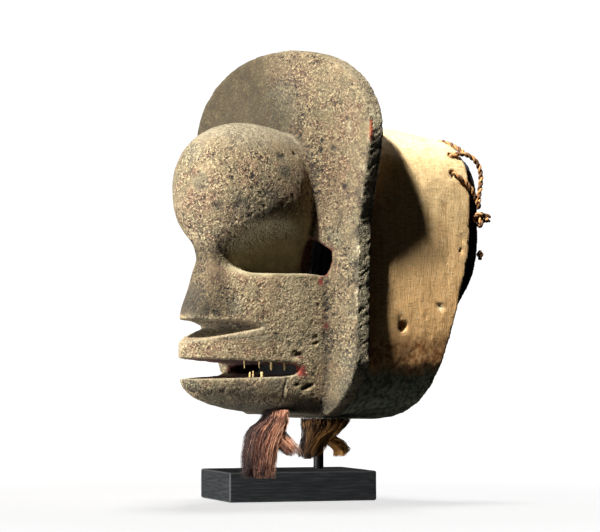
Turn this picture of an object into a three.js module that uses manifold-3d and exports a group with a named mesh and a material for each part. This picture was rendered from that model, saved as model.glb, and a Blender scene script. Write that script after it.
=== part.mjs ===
// Carved wooden face mask on its display stand. Millimetres, +Z up, the face looks along -Y.
// The origin is the middle of the plinth's underside. The mask's own frame has its middle plane
// at X = 0, the front face of its board at Y = 0, and heights measured from the same underside.
import * as THREE from 'three';
import { mergeVertices } from 'three/addons/utils/BufferGeometryUtils.js';
import Module from 'manifold-3d';

const wasm = await Module();
wasm.setup();

// Where the mask stands over the plinth
const MASK_X = 14;
const MASK_Y = -18;

// Stand
const PLINTH_LENGTH = 151;
const PLINTH_WIDTH = 103;
const PLINTH_HEIGHT = 29.5;
const PLINTH_EDGE = 1.2;
const PLINTH_TURN = 64;
const POST_RADIUS = 5.2;
const POST_SIDES = 20;
const POST_BACK = 47;
const CONTACT_GAP = 0.3;

// Face board: a flat plate with an arched top
const BOARD_THICKNESS = 20;
const BOARD_BOTTOM = 84;
const BOARD_HALF_WIDTH = 101;
const BOARD_CORNER_HEIGHT = 58;
const BOARD_FOOT_HALF_WIDTH = 60;
const BOARD_EDGE_ROUNDING = 3;
const ARCH_SPRING = 356;
const ARCH_TOP = 446;
const ARCH_HALF_WIDTH = 127.5;
const ARCH_LEAN = -7;
const ARCH_POWER = 2.15;
const NECK_START = 272;

// Forehead ball
const BALL_RADIUS = 68;
const BALL_HALF_WIDTH = 60;
const BALL_REACH = 73.5;
const BALL_FORWARD = 57;
const BALL_HEIGHT = 297;
const BALL_TOP_RISE = 73;
const BALL_TOP_POWER = 2.75;
const BALL_ROOT_HALF_WIDTH = 45;
const BALL_ROOT_DROP = 66;
const BALL_ROOT_RISE = 66;
const BALL_NECK_POWER = 1.5;
const BALL_REAR_REACH = -6;
const BALL_REAR_ANGLE = -1.04;
const BALL_SIDES = 32;
const BALL_STEPS = 18;

// Muzzle: nose, upper lip and lower jaw share one beak-shaped plan
const MUZZLE_HALF_WIDTH = 59;
const PLAN_WIDTH_POWER = 1.35;
const PLAN_REACH_POWER = 1.75;
const MUZZLE_ROOT = 8;
const LIP_REACH = 137;
const SLOT_HALF_WIDTH = 70;
const FACET_HALF_WIDTH = 40;
const FACET_CLEAR = 180;
// each row: height, reach in front of the board, half width at the board
const JAW_LEVELS = [
  [86, 34, 44],
  [89, 62, 51],
  [92, 80, 54],
  [96, 101, 56],
  [103, 122, 58],
  [112, 133.5, 59],
  [121, 137, 59],
  [134, 137, 59],
  [145, 138, 59],
  [156, 137, 59],
  [172, 136, 59],
];
const NOSE_LEVELS = [
  [160, 140, 59],
  [176, 140, 59],
  [186, 138.5, 59],
  [198, 132, 59],
  [210, 126, 59],
  [222, 121, 59],
  [234, 119, 58],
  [244, 121, 54],
  [254, 124, 46],
  [266, 126, 36],
  [280, 126, 27],
  [290, 124, 20],
];
// the nose front is a flat facet, given as reach at heights
const NOSE_FACET = [
  [165, 133],
  [176, 132],
  [185, 129.5],
  [207, 119],
  [234, 107.5],
  [242, 111],
  [250, 114.5],
  [258, 117],
  [268, 119.5],
  [280, 121.5],
  [292, 121],
];

// Orbit hollows beside the nose bridge
// each row: reach, floor height, inner wall, middle of the roof, rise of the roof
const ORBIT_SECTIONS = [
  [0.4, 220.5, 27, 76, 56],
  [25, 222, 25, 77, 56],
  [50, 221.5, 21.5, 76, 58],
  [66, 222, 19, 74, 55],
  [80, 223, 16.5, 68, 50],
  [90, 225.2, 14, 58, 42],
  [100, 229, 12, 45, 32],
  [106, 233.5, 12.5, 32, 17],
  [109.5, 237, 15, 24, 6],
];

// Eye holes through the board, corners as x, z, cut from well behind the board to well before it
const EYE_CUT_REAR = 38;
const EYE_CUT_DEPTH = 40;
const EYE_OUTLINE = [
  [25, 221],
  [57, 220],
  [65.5, 234],
  [65.5, 244],
  [41, 256],
  [30, 256],
];

// Slot between nose and upper lip, and mouth slot, as reach and height
const NOSE_SLOT = [
  [160, 150.6],
  [71, 168.6],
  [70, 169.8],
  [71, 171.4],
  [84, 175.2],
  [160, 178.4],
];
const MOUTH_SLOT = [
  [160, 119.4],
  [42, 122.4],
  [33, 125],
  [30, 128.6],
  [32, 133],
  [40, 135.6],
  [160, 141.4],
];
const THROAT_HALF_WIDTH = 48;
const THROAT_BOTTOM = 124;
const THROAT_TOP = 134;
const THROAT_REACH = 40;

// Hull: the hollow back part that goes over the wearer's head
const HULL_FRONT = 12;
const HULL_REAR = 157;
const HULL_WAIST = 290;
const RIM_HALF_WIDTH = 106;
const RIM_RISE = 88;
const RIM_DROP = 211;
const FRONT_HALF_WIDTH = 90;
const FRONT_RISE = 82;
const FRONT_DROP = 209;
const HULL_TOP_POWER = 2.9;
const SHOULDER_SLOPE = 9;
const HULL_FOOT_POWER = 4;
// the rim comes forward towards the foot: height and depth
const RIM_LINE = [
  [79, 100],
  [90, 109],
  [120, 120.5],
  [211, 145],
  [240, 153.5],
  [262, 157],
];
const WALL_AT_RIM = 7;
const WALL_AT_BOARD = 13;
const CAVITY_FRONT = 13;
const CAVITY_OVERRUN = 8;
const HULL_MIDDLE_DROP = 60;

// Lacing holes near the rim, and the plain hole lower down, as x, y, z
const LACE_HOLE_RADIUS = 3.8;
const BORE_LENGTH = 50;
const BORE_SIDES = 14;
const LACE_HOLES = [
  [92, 144, 344],
  [103.5, 137, 326],
];
const SIDE_HOLE = [90, 68.5, 171];
const SIDE_HOLE_RADIUS = 5;
const SIDE_HOLE_LEAN = 0.5;

// Cane teeth that are left along the near side of the mouth: reach, radius, length
const UPPER_TEETH = [
  [85, 0.9, 7],
  [71, 0.9, 6.5],
  [59, 1.7, 8],
  [45, 1.4, 7.5],
];
const LOWER_TEETH = [
  [80, 1.2, 5],
  [77, 0.9, 6],
  [68.5, 1.7, 5],
];
const TOOTH_INSET = 5;

// Remnant of the dark hood inside the rim: height and how far it stands out behind the rim
const HOOD_STANDOUT = [
  [371, 2],
  [364, 4],
  [356, 7],
  [345, 11],
  [330, 15],
  [300, 18],
  [280, 18.9],
  [270, 19.3],
  [256, 20.5],
  [245, 20.6],
  [236, 21.1],
  [228, 20.6],
  [222, 20.1],
  [216, 18.4],
  [210, 16.6],
  [203, 12.2],
  [194, 7.3],
];
const HOOD_THICKNESS = 2.4;
const HOOD_TUCK = 12;
const HOOD_INSET = 1.6;

// Two-ply rope
const ROPE_DIAMETER = 5.4;
const STRAND_DIAMETER = 4.6;
const ROPE_SIDES = 8;
const ROPE_GROOVE = 0.7;
const LOOP_ROUTE = [
  [90.5, 142.5, 342.2],
  [93.6, 145.6, 344.2],
  [96, 149.5, 345.4],
  [97.8, 154, 345.8],
  [99.2, 158.8, 345.2],
  [100.8, 163.6, 343.2],
  [102.2, 168, 340],
  [103.2, 171.6, 335.6],
  [103.8, 174, 330],
  [104, 175, 324],
  [104, 174.8, 317.6],
  [103.8, 173.8, 311],
  [103.6, 172.6, 304.6],
  [103.6, 172, 298],
  [103.8, 171.8, 291.2],
];
const STRAND_ROUTE = [
  [100.5, 136.5, 325.6],
  [102.8, 138.7, 324.1],
  [104.4, 141.2, 322.3],
  [105.6, 143.9, 320.4],
  [106.6, 146.6, 318.5],
  [107.3, 149.3, 316.3],
  [107.9, 151.8, 313.9],
  [108.3, 154.3, 311.5],
  [108.6, 156.6, 308.9],
  [108.7, 158.8, 306.1],
  [108.8, 160.7, 303.2],
  [108.8, 162.5, 300.2],
  [108.8, 164.1, 297],
  [108.7, 165.3, 293.7],
  [108.6, 166.4, 290.4],
];
const STITCH_ROUTE = [
  [57, 161.2, 360.4],
  [63, 160.8, 360.6],
  [70, 160.6, 359],
  [77, 160.5, 356.6],
  [84, 160.5, 353.4],
  [89, 160.6, 350.8],
  [93, 161, 347.8],
];

// Fibre tufts under the jaw
const FRONT_TUFT_FOOT = [30, -55];
const REAR_TUFT_FOOT = [30, 18];

function along(table, at, column = 1) {
  const up = table[table.length - 1][0] > table[0][0];
  const rows = up ? table : [...table].reverse();
  if (at <= rows[0][0]) return rows[0][column];
  for (let i = 1; i < rows.length; i += 1) {
    if (at <= rows[i][0]) {
      const share = (at - rows[i - 1][0]) / (rows[i][0] - rows[i - 1][0]);
      return rows[i - 1][column] + share * (rows[i][column] - rows[i - 1][column]);
    }
  }
  return rows[rows.length - 1][column];
}

function smoothstep(low, high, value) {
  const share = Math.min(Math.max((value - low) / (high - low), 0), 1);
  return share * share * (3 - 2 * share);
}

function signedPower(value, power) {
  return Math.sign(value) * Math.abs(value) ** power;
}

// A geometry with shared corners only, its faces turned outward
function closed(geometry) {
  const bare = geometry.clone();
  bare.deleteAttribute('normal');
  bare.deleteAttribute('uv');
  const merged = mergeVertices(bare, 1e-4);
  const place = merged.getAttribute('position');
  const index = Array.from(merged.getIndex().array);
  const kept = [];
  let volume = 0;
  const a = new THREE.Vector3();
  const b = new THREE.Vector3();
  const c = new THREE.Vector3();
  for (let i = 0; i < index.length; i += 3) {
    const [p, q, r] = index.slice(i, i + 3);
    if (p === q || q === r || p === r) continue;
    kept.push(p, q, r);
    a.fromBufferAttribute(place, p);
    b.fromBufferAttribute(place, q);
    c.fromBufferAttribute(place, r);
    volume += a.dot(b.cross(c));
  }
  if (volume < 0) kept.reverse();
  merged.setIndex(kept);
  return merged;
}

function solidOf(geometry) {
  const shape = closed(geometry);
  return new wasm.Manifold(new wasm.Mesh({
    numProp: 3,
    vertProperties: new Float32Array(shape.getAttribute('position').array),
    triVerts: new Uint32Array(shape.getIndex().array),
  }));
}

function geometryOf(solid) {
  const mesh = solid.getMesh();
  const geometry = new THREE.BufferGeometry();
  geometry.setAttribute('position', new THREE.BufferAttribute(new Float32Array(mesh.vertProperties), 3));
  geometry.setIndex(new THREE.BufferAttribute(new Uint32Array(mesh.triVerts), 1));
  return geometry;
}

// A capped cylinder whose rings are moved: place(turn, step, onAxis) gives each point
function lofted(sides, steps, place) {
  const geometry = new THREE.CylinderGeometry(1, 1, 1, sides, steps);
  const point = geometry.getAttribute('position');
  for (let i = 0; i < point.count; i += 1) {
    const onAxis = Math.hypot(point.getX(i), point.getZ(i)) < 0.5;
    const turn = Math.atan2(point.getX(i), point.getZ(i)) / (2 * Math.PI);
    point.setXYZ(i, ...place((turn + 1) % 1, point.getY(i) + 0.5, onAxis));
  }
  return geometry;
}

function extruded(points, depth, options = {}) {
  const outline = new THREE.Shape(points.map(([x, y]) => new THREE.Vector2(x, y)));
  return new THREE.ExtrudeGeometry(outline, { depth, bevelEnabled: false, ...options });
}

// A prism across the mask whose section is given as reach and height
function crossCut(section, halfWidth) {
  const geometry = extruded(section.map(([reach, height]) => [-reach, height]), 2 * halfWidth);
  const point = geometry.getAttribute('position');
  for (let i = 0; i < point.count; i += 1) {
    point.setXYZ(i, point.getZ(i) - halfWidth, point.getX(i), point.getY(i));
  }
  return geometry;
}

function boardOutline() {
  const points = [];
  const archSteps = 26;
  const sideLevels = [BOARD_BOTTOM, 90, 99, 110, 122, 136, 200, NECK_START, 290, 308, 326, 342];
  const half = (height) => {
    if (height < BOARD_BOTTOM + BOARD_CORNER_HEIGHT) {
      const down = (BOARD_BOTTOM + BOARD_CORNER_HEIGHT - height) / BOARD_CORNER_HEIGHT;
      const corner = BOARD_HALF_WIDTH - BOARD_FOOT_HALF_WIDTH;
      return BOARD_FOOT_HALF_WIDTH + corner * (1 - down ** 1.6) ** 0.8;
    }
    const wide = smoothstep(NECK_START - 20, ARCH_SPRING + 16, height);
    return BOARD_HALF_WIDTH + (ARCH_HALF_WIDTH - BOARD_HALF_WIDTH) * wide;
  };
  const lean = (height) => ARCH_LEAN * smoothstep(NECK_START, ARCH_SPRING, height);
  for (const height of sideLevels) points.push([half(height) + lean(height), height]);
  for (let i = 0; i <= archSteps; i += 1) {
    const angle = (Math.PI * i) / archSteps;
    const across = signedPower(Math.cos(angle), 2 / ARCH_POWER) * (ARCH_HALF_WIDTH - 1);
    const rise = signedPower(Math.sin(angle), 2 / ARCH_POWER) * (ARCH_TOP - ARCH_SPRING);
    points.push([across + ARCH_LEAN, ARCH_SPRING + rise]);
  }
  for (const height of [...sideLevels].reverse()) points.push([lean(height) - half(height), height]);
  return points;
}

function board() {
  const rounding = BOARD_EDGE_ROUNDING;
  const geometry = extruded(boardOutline(), BOARD_THICKNESS - 2 * rounding, {
    bevelEnabled: true,
    bevelThickness: rounding,
    bevelSize: rounding,
    bevelOffset: -rounding,
    bevelSegments: 2,
  });
  geometry.rotateX(Math.PI / 2);
  geometry.translate(0, BOARD_THICKNESS - rounding, 0);
  return solidOf(geometry);
}

// Half width, rise and drop of the forehead ball at an angle from its widest ring
function ballSection(angle, reach, above) {
  if (angle >= 0) {
    // the front half follows an egg that is fuller above
    const full = Math.cos(angle) ** (2 / (2 + (BALL_TOP_POWER - 2) * above));
    return { wide: BALL_HALF_WIDTH * full, rise: BALL_TOP_RISE * full, drop: BALL_RADIUS * full };
  }
  // the rear half narrows to a neck that runs into the board
  const root = 1 - Math.max(reach, 0) / BALL_FORWARD;
  const full = Math.cos(angle) ** (2 / (2 + (BALL_TOP_POWER - 2) * above * (1 - root)));
  return {
    wide: Math.max(BALL_HALF_WIDTH * full, BALL_ROOT_HALF_WIDTH),
    rise: BALL_TOP_RISE + (BALL_ROOT_RISE - BALL_TOP_RISE) * root ** BALL_NECK_POWER,
    drop: BALL_RADIUS + (BALL_ROOT_DROP - BALL_RADIUS) * root,
  };
}

function ball() {
  return solidOf(lofted(BALL_SIDES, BALL_STEPS, (turn, step, onAxis) => {
    const angle = BALL_REAR_ANGLE + step * (Math.PI / 2 - BALL_REAR_ANGLE);
    const reach = Math.max(BALL_FORWARD + BALL_REACH * Math.sin(angle), BALL_REAR_REACH);
    if (onAxis) return [0, -reach, BALL_HEIGHT];
    const around = 2 * Math.PI * turn;
    const upward = Math.cos(around);
    const { wide, rise, drop } = ballSection(angle, reach, Math.max(upward, 0));
    return [wide * Math.sin(around), -reach, BALL_HEIGHT + (upward > 0 ? rise : drop) * upward];
  }));
}

// Half width of the muzzle plan at a share of its reach
function planWidth(share) {
  return (1 - Math.min(Math.max(share, 0), 1) ** PLAN_REACH_POWER) ** (1 / PLAN_WIDTH_POWER);
}

function muzzle(levels) {
  const steps = levels.length - 1;
  const frontShare = 0.8;
  return solidOf(lofted(40, steps, (turn, step, onAxis) => {
    const [height, reach, half] = levels[Math.round(step * steps)];
    if (onAxis) return [0, -reach / 3, height];
    if (turn <= frontShare) {
      const angle = (turn / frontShare) * Math.PI;
      const across = signedPower(Math.cos(angle), 2 / PLAN_WIDTH_POWER);
      const forward = Math.abs(Math.sin(angle)) ** (2 / PLAN_REACH_POWER);
      return [half * across, -reach * forward, height];
    }
    const back = (turn - frontShare) / (1 - frontShare);
    return [half * (2 * back - 1), MUZZLE_ROOT * Math.sin(Math.PI * back) ** 0.2, height];
  }));
}

// What stands in front of the flat nose facet
function noseFacetCut() {
  const outline = NOSE_FACET.map(([height, reach]) => [reach, height]);
  const low = NOSE_FACET[0][0];
  const high = NOSE_FACET[NOSE_FACET.length - 1][0];
  return solidOf(crossCut([...outline, [FACET_CLEAR, high], [FACET_CLEAR, low]], FACET_HALF_WIDTH));
}

function orbit(side) {
  const steps = ORBIT_SECTIONS.length - 1;
  const arcShare = 0.75;
  return solidOf(lofted(24, steps, (turn, step, onAxis) => {
    const [reach, floor, inner, middle, rise] = ORBIT_SECTIONS[Math.round(step * steps)];
    const half = middle - inner;
    if (onAxis) return [side * middle, -reach, floor + rise / 3];
    if (turn <= arcShare) {
      const angle = (turn / arcShare) * Math.PI;
      return [side * (middle - half * Math.cos(angle)), -reach, floor + rise * Math.sin(angle)];
    }
    const back = (turn - arcShare) / (1 - arcShare);
    return [side * (middle + half * (1 - 2 * back)), -reach, floor];
  }));
}

function eyeHole(side) {
  const corners = EYE_OUTLINE.map(([x, z]) => [side * x, z]);
  const geometry = extruded(side > 0 ? corners : corners.reverse(), EYE_CUT_DEPTH);
  geometry.rotateX(Math.PI / 2);
  geometry.translate(0, EYE_CUT_REAR, 0);
  return solidOf(geometry);
}

// Outline of the hull at a share of its depth, drawn in by a wall thickness
function hullPoint(share, turn, inset) {
  const mix = (front, rim) => front + (rim - front) * share;
  const half = mix(FRONT_HALF_WIDTH, RIM_HALF_WIDTH) - inset;
  const rise = mix(FRONT_RISE, RIM_RISE) - inset;
  const drop = mix(FRONT_DROP, RIM_DROP) - inset;
  const angle = 2 * Math.PI * turn;
  const power = Math.cos(angle) > 0 ? HULL_TOP_POWER : HULL_FOOT_POWER;
  const full = (Math.abs(Math.sin(angle)) ** power + Math.abs(Math.cos(angle)) ** power) ** (-1 / power);
  const across = full * Math.sin(angle);
  const upward = full * Math.cos(angle);
  const slope = upward > 0 ? SHOULDER_SLOPE * Math.sin(Math.PI * Math.abs(across)) * share : 0;
  const height = HULL_WAIST + (upward > 0 ? rise : drop) * upward - slope;
  return [half * across, mix(HULL_FRONT, along(RIM_LINE, height)), height];
}

function hullOuter() {
  return solidOf(lofted(56, 3, (turn, step, onAxis) => {
    const depth = HULL_FRONT + step * (HULL_REAR - HULL_FRONT);
    return onAxis ? [0, depth, HULL_WAIST - HULL_MIDDLE_DROP] : hullPoint(step, turn, 0);
  }));
}

function hullCavity() {
  const length = HULL_REAR - HULL_FRONT;
  const front = (CAVITY_FRONT - HULL_FRONT) / length;
  const rear = 1 + CAVITY_OVERRUN / length;
  return solidOf(lofted(48, 3, (turn, step, onAxis) => {
    const share = front + step * (rear - front);
    const depth = HULL_FRONT + share * length + (step === 1 ? CAVITY_OVERRUN : 0);
    const wall = WALL_AT_BOARD + (WALL_AT_RIM - WALL_AT_BOARD) * Math.min(share, 1);
    return onAxis ? [0, depth, HULL_WAIST - HULL_MIDDLE_DROP] : hullPoint(share, turn, wall);
  }));
}

// A round hole through the hull's side at a point, which leans to the rear on its way out
function sideBore([x, y, z], radius, side, lean = 0) {
  const geometry = new THREE.CylinderGeometry(radius, radius, BORE_LENGTH, BORE_SIDES);
  const rise = Math.max((z - HULL_WAIST) / RIM_RISE, 0);
  const outward = new THREE.Vector3(1, lean, rise * 1.1).normalize();
  const turned = new THREE.Quaternion().setFromUnitVectors(new THREE.Vector3(0, 1, 0), outward);
  geometry.applyQuaternion(turned);
  geometry.translate(x, y, z);
  if (side < 0) geometry.scale(-1, 1, 1);
  return solidOf(geometry);
}

function throat() {
  const depth = THROAT_REACH + BOARD_THICKNESS + 4;
  const height = THROAT_TOP - THROAT_BOTTOM;
  const geometry = new THREE.BoxGeometry(2 * THROAT_HALF_WIDTH, depth, height);
  geometry.translate(0, depth / 2 - THROAT_REACH, THROAT_BOTTOM + height / 2);
  return solidOf(geometry);
}

// The rope has worn a groove where it leaves its hole
function ropeGroove(route, diameter) {
  const [first, second] = route;
  const behind = first.map((value, i) => value - (second[i] - value) * 0.5);
  return solidOf(tube([behind, ...route.slice(0, 8)], diameter + ROPE_GROOVE, ROPE_SIDES, 16));
}

function carvedMask() {
  let wood = board().add(hullOuter());
  wood = wood.add(muzzle(JAW_LEVELS));
  wood = wood.add(muzzle(NOSE_LEVELS).subtract(noseFacetCut()));
  wood = wood.add(ball());
  for (const side of [-1, 1]) wood = wood.subtract(orbit(side));
  wood = wood.subtract(hullCavity());
  for (const side of [-1, 1]) {
    wood = wood.subtract(eyeHole(side));
    for (const hole of LACE_HOLES) wood = wood.subtract(sideBore(hole, LACE_HOLE_RADIUS, side));
  }
  wood = wood.subtract(sideBore(SIDE_HOLE, SIDE_HOLE_RADIUS, 1, SIDE_HOLE_LEAN));
  wood = wood.subtract(ropeGroove(LOOP_ROUTE, ROPE_DIAMETER));
  wood = wood.subtract(ropeGroove(STRAND_ROUTE, STRAND_DIAMETER));
  wood = wood.subtract(solidOf(crossCut(NOSE_SLOT, SLOT_HALF_WIDTH)));
  wood = wood.subtract(solidOf(crossCut(MOUTH_SLOT, SLOT_HALF_WIDTH)));
  return wood.subtract(throat());
}

function tube(route, diameter, sides, steps) {
  const path = new THREE.CatmullRomCurve3(route.map((p) => new THREE.Vector3(...p)));
  const section = [];
  for (let i = 0; i < sides; i += 1) {
    const angle = (2 * Math.PI * i) / sides;
    section.push([(diameter / 2) * Math.cos(angle), (diameter / 2) * Math.sin(angle)]);
  }
  return extruded(section, 1, { steps, extrudePath: path });
}

function tooth([reach, radius, length], upward) {
  const share = reach / LIP_REACH;
  const across = MUZZLE_HALF_WIDTH * planWidth(share) - TOOTH_INSET;
  const root = upward ? along(MOUTH_SLOT.slice(0, 2), reach) : along(MOUTH_SLOT.slice(5), reach);
  const geometry = new THREE.CylinderGeometry(radius, radius * 0.8, length, 8);
  geometry.rotateX(upward ? -Math.PI / 2 : Math.PI / 2);
  const middle = upward ? root + CONTACT_GAP + length / 2 : root - CONTACT_GAP - length / 2;
  geometry.translate(across, -reach, middle);
  return geometry;
}

// One matted band over the top of the rim, from low on one side to low on the other
function hoodBand() {
  const geometry = new THREE.BoxGeometry(1, 1, 1, 52, 1, 1);
  const point = geometry.getAttribute('position');
  const turnAtFoot = 0.3226;
  const tucked = 1 - HOOD_TUCK / (HULL_REAR - HULL_FRONT);
  for (let i = 0; i < point.count; i += 1) {
    const turn = 2 * turnAtFoot * point.getX(i);
    const inset = WALL_AT_RIM + HOOD_INSET + (point.getZ(i) + 0.5) * HOOD_THICKNESS;
    if (point.getY(i) > 0) {
      const [x, y, z] = hullPoint(1, turn, inset);
      point.setXYZ(i, x, y + along(HOOD_STANDOUT, z), z);
    } else {
      point.setXYZ(i, ...hullPoint(tucked, turn, inset));
    }
  }
  return closed(geometry);
}

// Lumps that touch, joined into one closed body
function lumps(list) {
  let body = null;
  for (const [x, y, z, a, b, c] of list) {
    const geometry = new THREE.SphereGeometry(1, 10, 7);
    geometry.scale(a, b, c);
    geometry.translate(x, y, z);
    const solid = solidOf(geometry);
    body = body ? body.add(solid) : solid;
  }
  return geometryOf(body);
}

// A hanging bundle that is tied above and spreads below: rows of height, x, y, half widths
function bundle(rows, sides, turnDegrees) {
  const steps = rows.length - 1;
  const turned = (turnDegrees * Math.PI) / 180;
  return solidOf(lofted(sides, steps, (turn, step, onAxis) => {
    const [height, x, y, wide, deep] = rows[Math.round(step * steps)];
    if (onAxis) return [x, y, height];
    const angle = 2 * Math.PI * turn;
    const across = wide * Math.sin(angle);
    const back = deep * Math.cos(angle);
    const dx = across * Math.cos(turned) - back * Math.sin(turned);
    const dy = across * Math.sin(turned) + back * Math.cos(turned);
    return [x + dx, y + dy, height];
  }));
}

function material(colour, roughness, metalness = 0) {
  return new THREE.MeshStandardMaterial({ color: colour, roughness, metalness });
}

const WOOD = material(0x8b8063, 0.9);
const CANE = material(0xd9c48d, 0.7);
const ROPE = material(0xb98558, 0.95);
const FIBRE = material(0xa5623f, 0.95);
const DARK_FIBRE = material(0x3a2418, 0.95);
const HOOD = material(0x1c1714, 0.95);
const PAINTED = material(0x1e1f20, 0.45);
const STEEL = material(0x161616, 0.5, 0.6);

function named(name, geometry, finish) {
  const mesh = new THREE.Mesh(closed(geometry), finish);
  mesh.name = name;
  return mesh;
}

// The tufts are laid out across the view from this turn: shift to the side, half widths
const FACING = 46;

function tuftRows([x, y], rows) {
  const turned = (FACING * Math.PI) / 180;
  return rows.map(([height, shift, wide, deep]) => (
    [height, x + shift * Math.cos(turned), y + shift * Math.sin(turned), wide, deep]
  ));
}

function frontTuft() {
  const body = bundle(tuftRows(FRONT_TUFT_FOOT, [
    [24, -7, 16, 7],
    [36, -6, 16, 8],
    [50, -4, 16, 8],
    [62, -1, 17, 8],
    [72, 3, 17, 8],
    [80, 10, 12, 6],
    [89.6, 11, 11, 5],
  ]), 16, FACING);
  const spray = bundle(tuftRows(FRONT_TUFT_FOOT, [
    [45, 27, 5, 5],
    [54, 22, 8, 5],
    [64, 13, 9, 5],
    [74, 6, 8, 5],
  ]), 12, FACING);
  return geometryOf(body.add(spray));
}

function rearTuft() {
  const body = bundle(tuftRows(REAR_TUFT_FOOT, [
    [41, -12, 4, 4],
    [48, -9, 8, 5],
    [56, -5, 11, 6],
    [64, -1, 14, 7],
    [72, 5, 20, 7],
    [80.2, 7, 24, 7],
  ]), 16, FACING);
  const branch = bundle(tuftRows(REAR_TUFT_FOOT, [
    [43, 18, 5, 5],
    [50, 20, 7, 5],
    [58, 13, 9, 5],
    [66, 2, 9, 5],
  ]), 12, FACING);
  return geometryOf(body.add(branch));
}

const object = new THREE.Group();

const plinthOutline = [
  [-PLINTH_LENGTH / 2, -PLINTH_WIDTH / 2],
  [PLINTH_LENGTH / 2, -PLINTH_WIDTH / 2],
  [PLINTH_LENGTH / 2, PLINTH_WIDTH / 2],
  [-PLINTH_LENGTH / 2, PLINTH_WIDTH / 2],
];
const plinthBody = extruded(plinthOutline, PLINTH_HEIGHT - 2 * PLINTH_EDGE, {
  bevelEnabled: true,
  bevelThickness: PLINTH_EDGE,
  bevelSize: PLINTH_EDGE,
  bevelOffset: -PLINTH_EDGE,
  bevelSegments: 2,
});
plinthBody.translate(0, 0, PLINTH_EDGE);
const plinth = named('plinth', plinthBody, PAINTED);
plinth.rotation.z = (PLINTH_TURN * Math.PI) / 180;
object.add(plinth);

const mask = new THREE.Group();
mask.position.set(MASK_X, MASK_Y, 0);
object.add(mask);

const hullDrop = along([[HULL_FRONT, FRONT_DROP], [RIM_LINE[0][1], RIM_DROP]], POST_BACK + POST_RADIUS);
const postTop = HULL_WAIST - hullDrop - CONTACT_GAP;
const postFoot = PLINTH_HEIGHT + CONTACT_GAP;
const postBody = new THREE.CylinderGeometry(POST_RADIUS, POST_RADIUS, postTop - postFoot, POST_SIDES);
postBody.rotateX(Math.PI / 2);
postBody.translate(0, POST_BACK, (postTop + postFoot) / 2);
mask.add(named('post', postBody, STEEL));

mask.add(named('mask', geometryOf(carvedMask()), WOOD));

UPPER_TEETH.forEach((row, i) => mask.add(named(`upper_tooth_${i + 1}`, tooth(row, false), CANE)));
LOWER_TEETH.forEach((row, i) => mask.add(named(`lower_tooth_${i + 1}`, tooth(row, true), CANE)));

mask.add(named('hood_remnant', hoodBand(), HOOD));
mask.add(named('rope_loop', tube(LOOP_ROUTE, ROPE_DIAMETER, ROPE_SIDES, 24), ROPE));
mask.add(named('rope_strand', tube(STRAND_ROUTE, STRAND_DIAMETER, ROPE_SIDES, 16), ROPE));
mask.add(named('rim_stitch', tube(STITCH_ROUTE, ROPE_DIAMETER, ROPE_SIDES, 14), ROPE));
mask.add(named('rope_knot', lumps([
  [105, 170, 284.5, 6, 6.5, 6],
  [105, 176, 280, 6.5, 8, 6],
  [106, 182, 281, 5, 7, 4.5],
  [105, 172, 276, 6, 6, 5],
]), ROPE));
mask.add(named('small_knot', lumps([
  [98.9, 179, 248, 3, 3.4, 3.6],
  [98.5, 179.4, 242, 3, 3.6, 3.6],
]), ROPE));

mask.add(named('front_tuft', frontTuft(), FIBRE));
mask.add(named('rear_tuft', rearTuft(), FIBRE));

export default object;
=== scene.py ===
# %% [markdown]
# # A carved face mask on its display stand
# The mask is cut from one block of light wood: an arched board, a round forehead, a beaked muzzle
# and a hollow hull behind that goes over the head. Its face is crusted and worn, its hull is bare.
# A black post and a black block hold it up. This file dresses the plain solids of that mask.
#
# The solids come first, because every dressed piece sits where its solid sits.

# %% Open the frame
import math
from functools import partial

import bmesh
import bpy
import numpy as np
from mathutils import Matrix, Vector
from mathutils.kdtree import KDTree


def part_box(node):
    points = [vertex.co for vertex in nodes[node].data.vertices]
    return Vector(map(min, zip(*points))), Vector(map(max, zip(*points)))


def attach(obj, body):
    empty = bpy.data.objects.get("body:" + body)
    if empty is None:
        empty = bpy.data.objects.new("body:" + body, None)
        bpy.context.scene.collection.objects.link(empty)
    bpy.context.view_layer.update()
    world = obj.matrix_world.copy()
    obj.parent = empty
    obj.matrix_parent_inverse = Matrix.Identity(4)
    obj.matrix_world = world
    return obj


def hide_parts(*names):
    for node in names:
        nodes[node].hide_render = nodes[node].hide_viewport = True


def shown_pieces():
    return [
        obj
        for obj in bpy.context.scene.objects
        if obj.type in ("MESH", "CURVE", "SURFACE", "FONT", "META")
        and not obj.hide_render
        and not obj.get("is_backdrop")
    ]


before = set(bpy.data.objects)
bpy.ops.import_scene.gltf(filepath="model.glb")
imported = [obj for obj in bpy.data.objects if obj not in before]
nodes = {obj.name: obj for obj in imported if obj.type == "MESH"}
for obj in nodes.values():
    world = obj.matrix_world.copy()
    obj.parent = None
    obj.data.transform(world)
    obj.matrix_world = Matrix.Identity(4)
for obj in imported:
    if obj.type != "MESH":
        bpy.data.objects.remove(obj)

MM = 0.001
MASK_PLACE = np.array([0.014, -0.018, 0.0])
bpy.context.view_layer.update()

# %% [markdown]
# ## The camera
# The photograph was taken from the mask's left front, nearly level, from far away with a long lens.
# A long lens keeps the plinth's edges almost parallel, so it is set before anything is judged.


# %% Place the camera
def placed(name, data):
    """A new object in the scene."""
    thing = bpy.data.objects.new(name, data)
    bpy.context.scene.collection.objects.link(thing)
    return thing


VIEW_TURN = math.radians(46)
VIEW_PITCH = math.radians(2.26)
CAMERA_DISTANCE = 2.5
CAMERA_ACROSS = 0.0121
CAMERA_HEIGHT = 0.1337
CAMERA_LENS = 150.1

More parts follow.
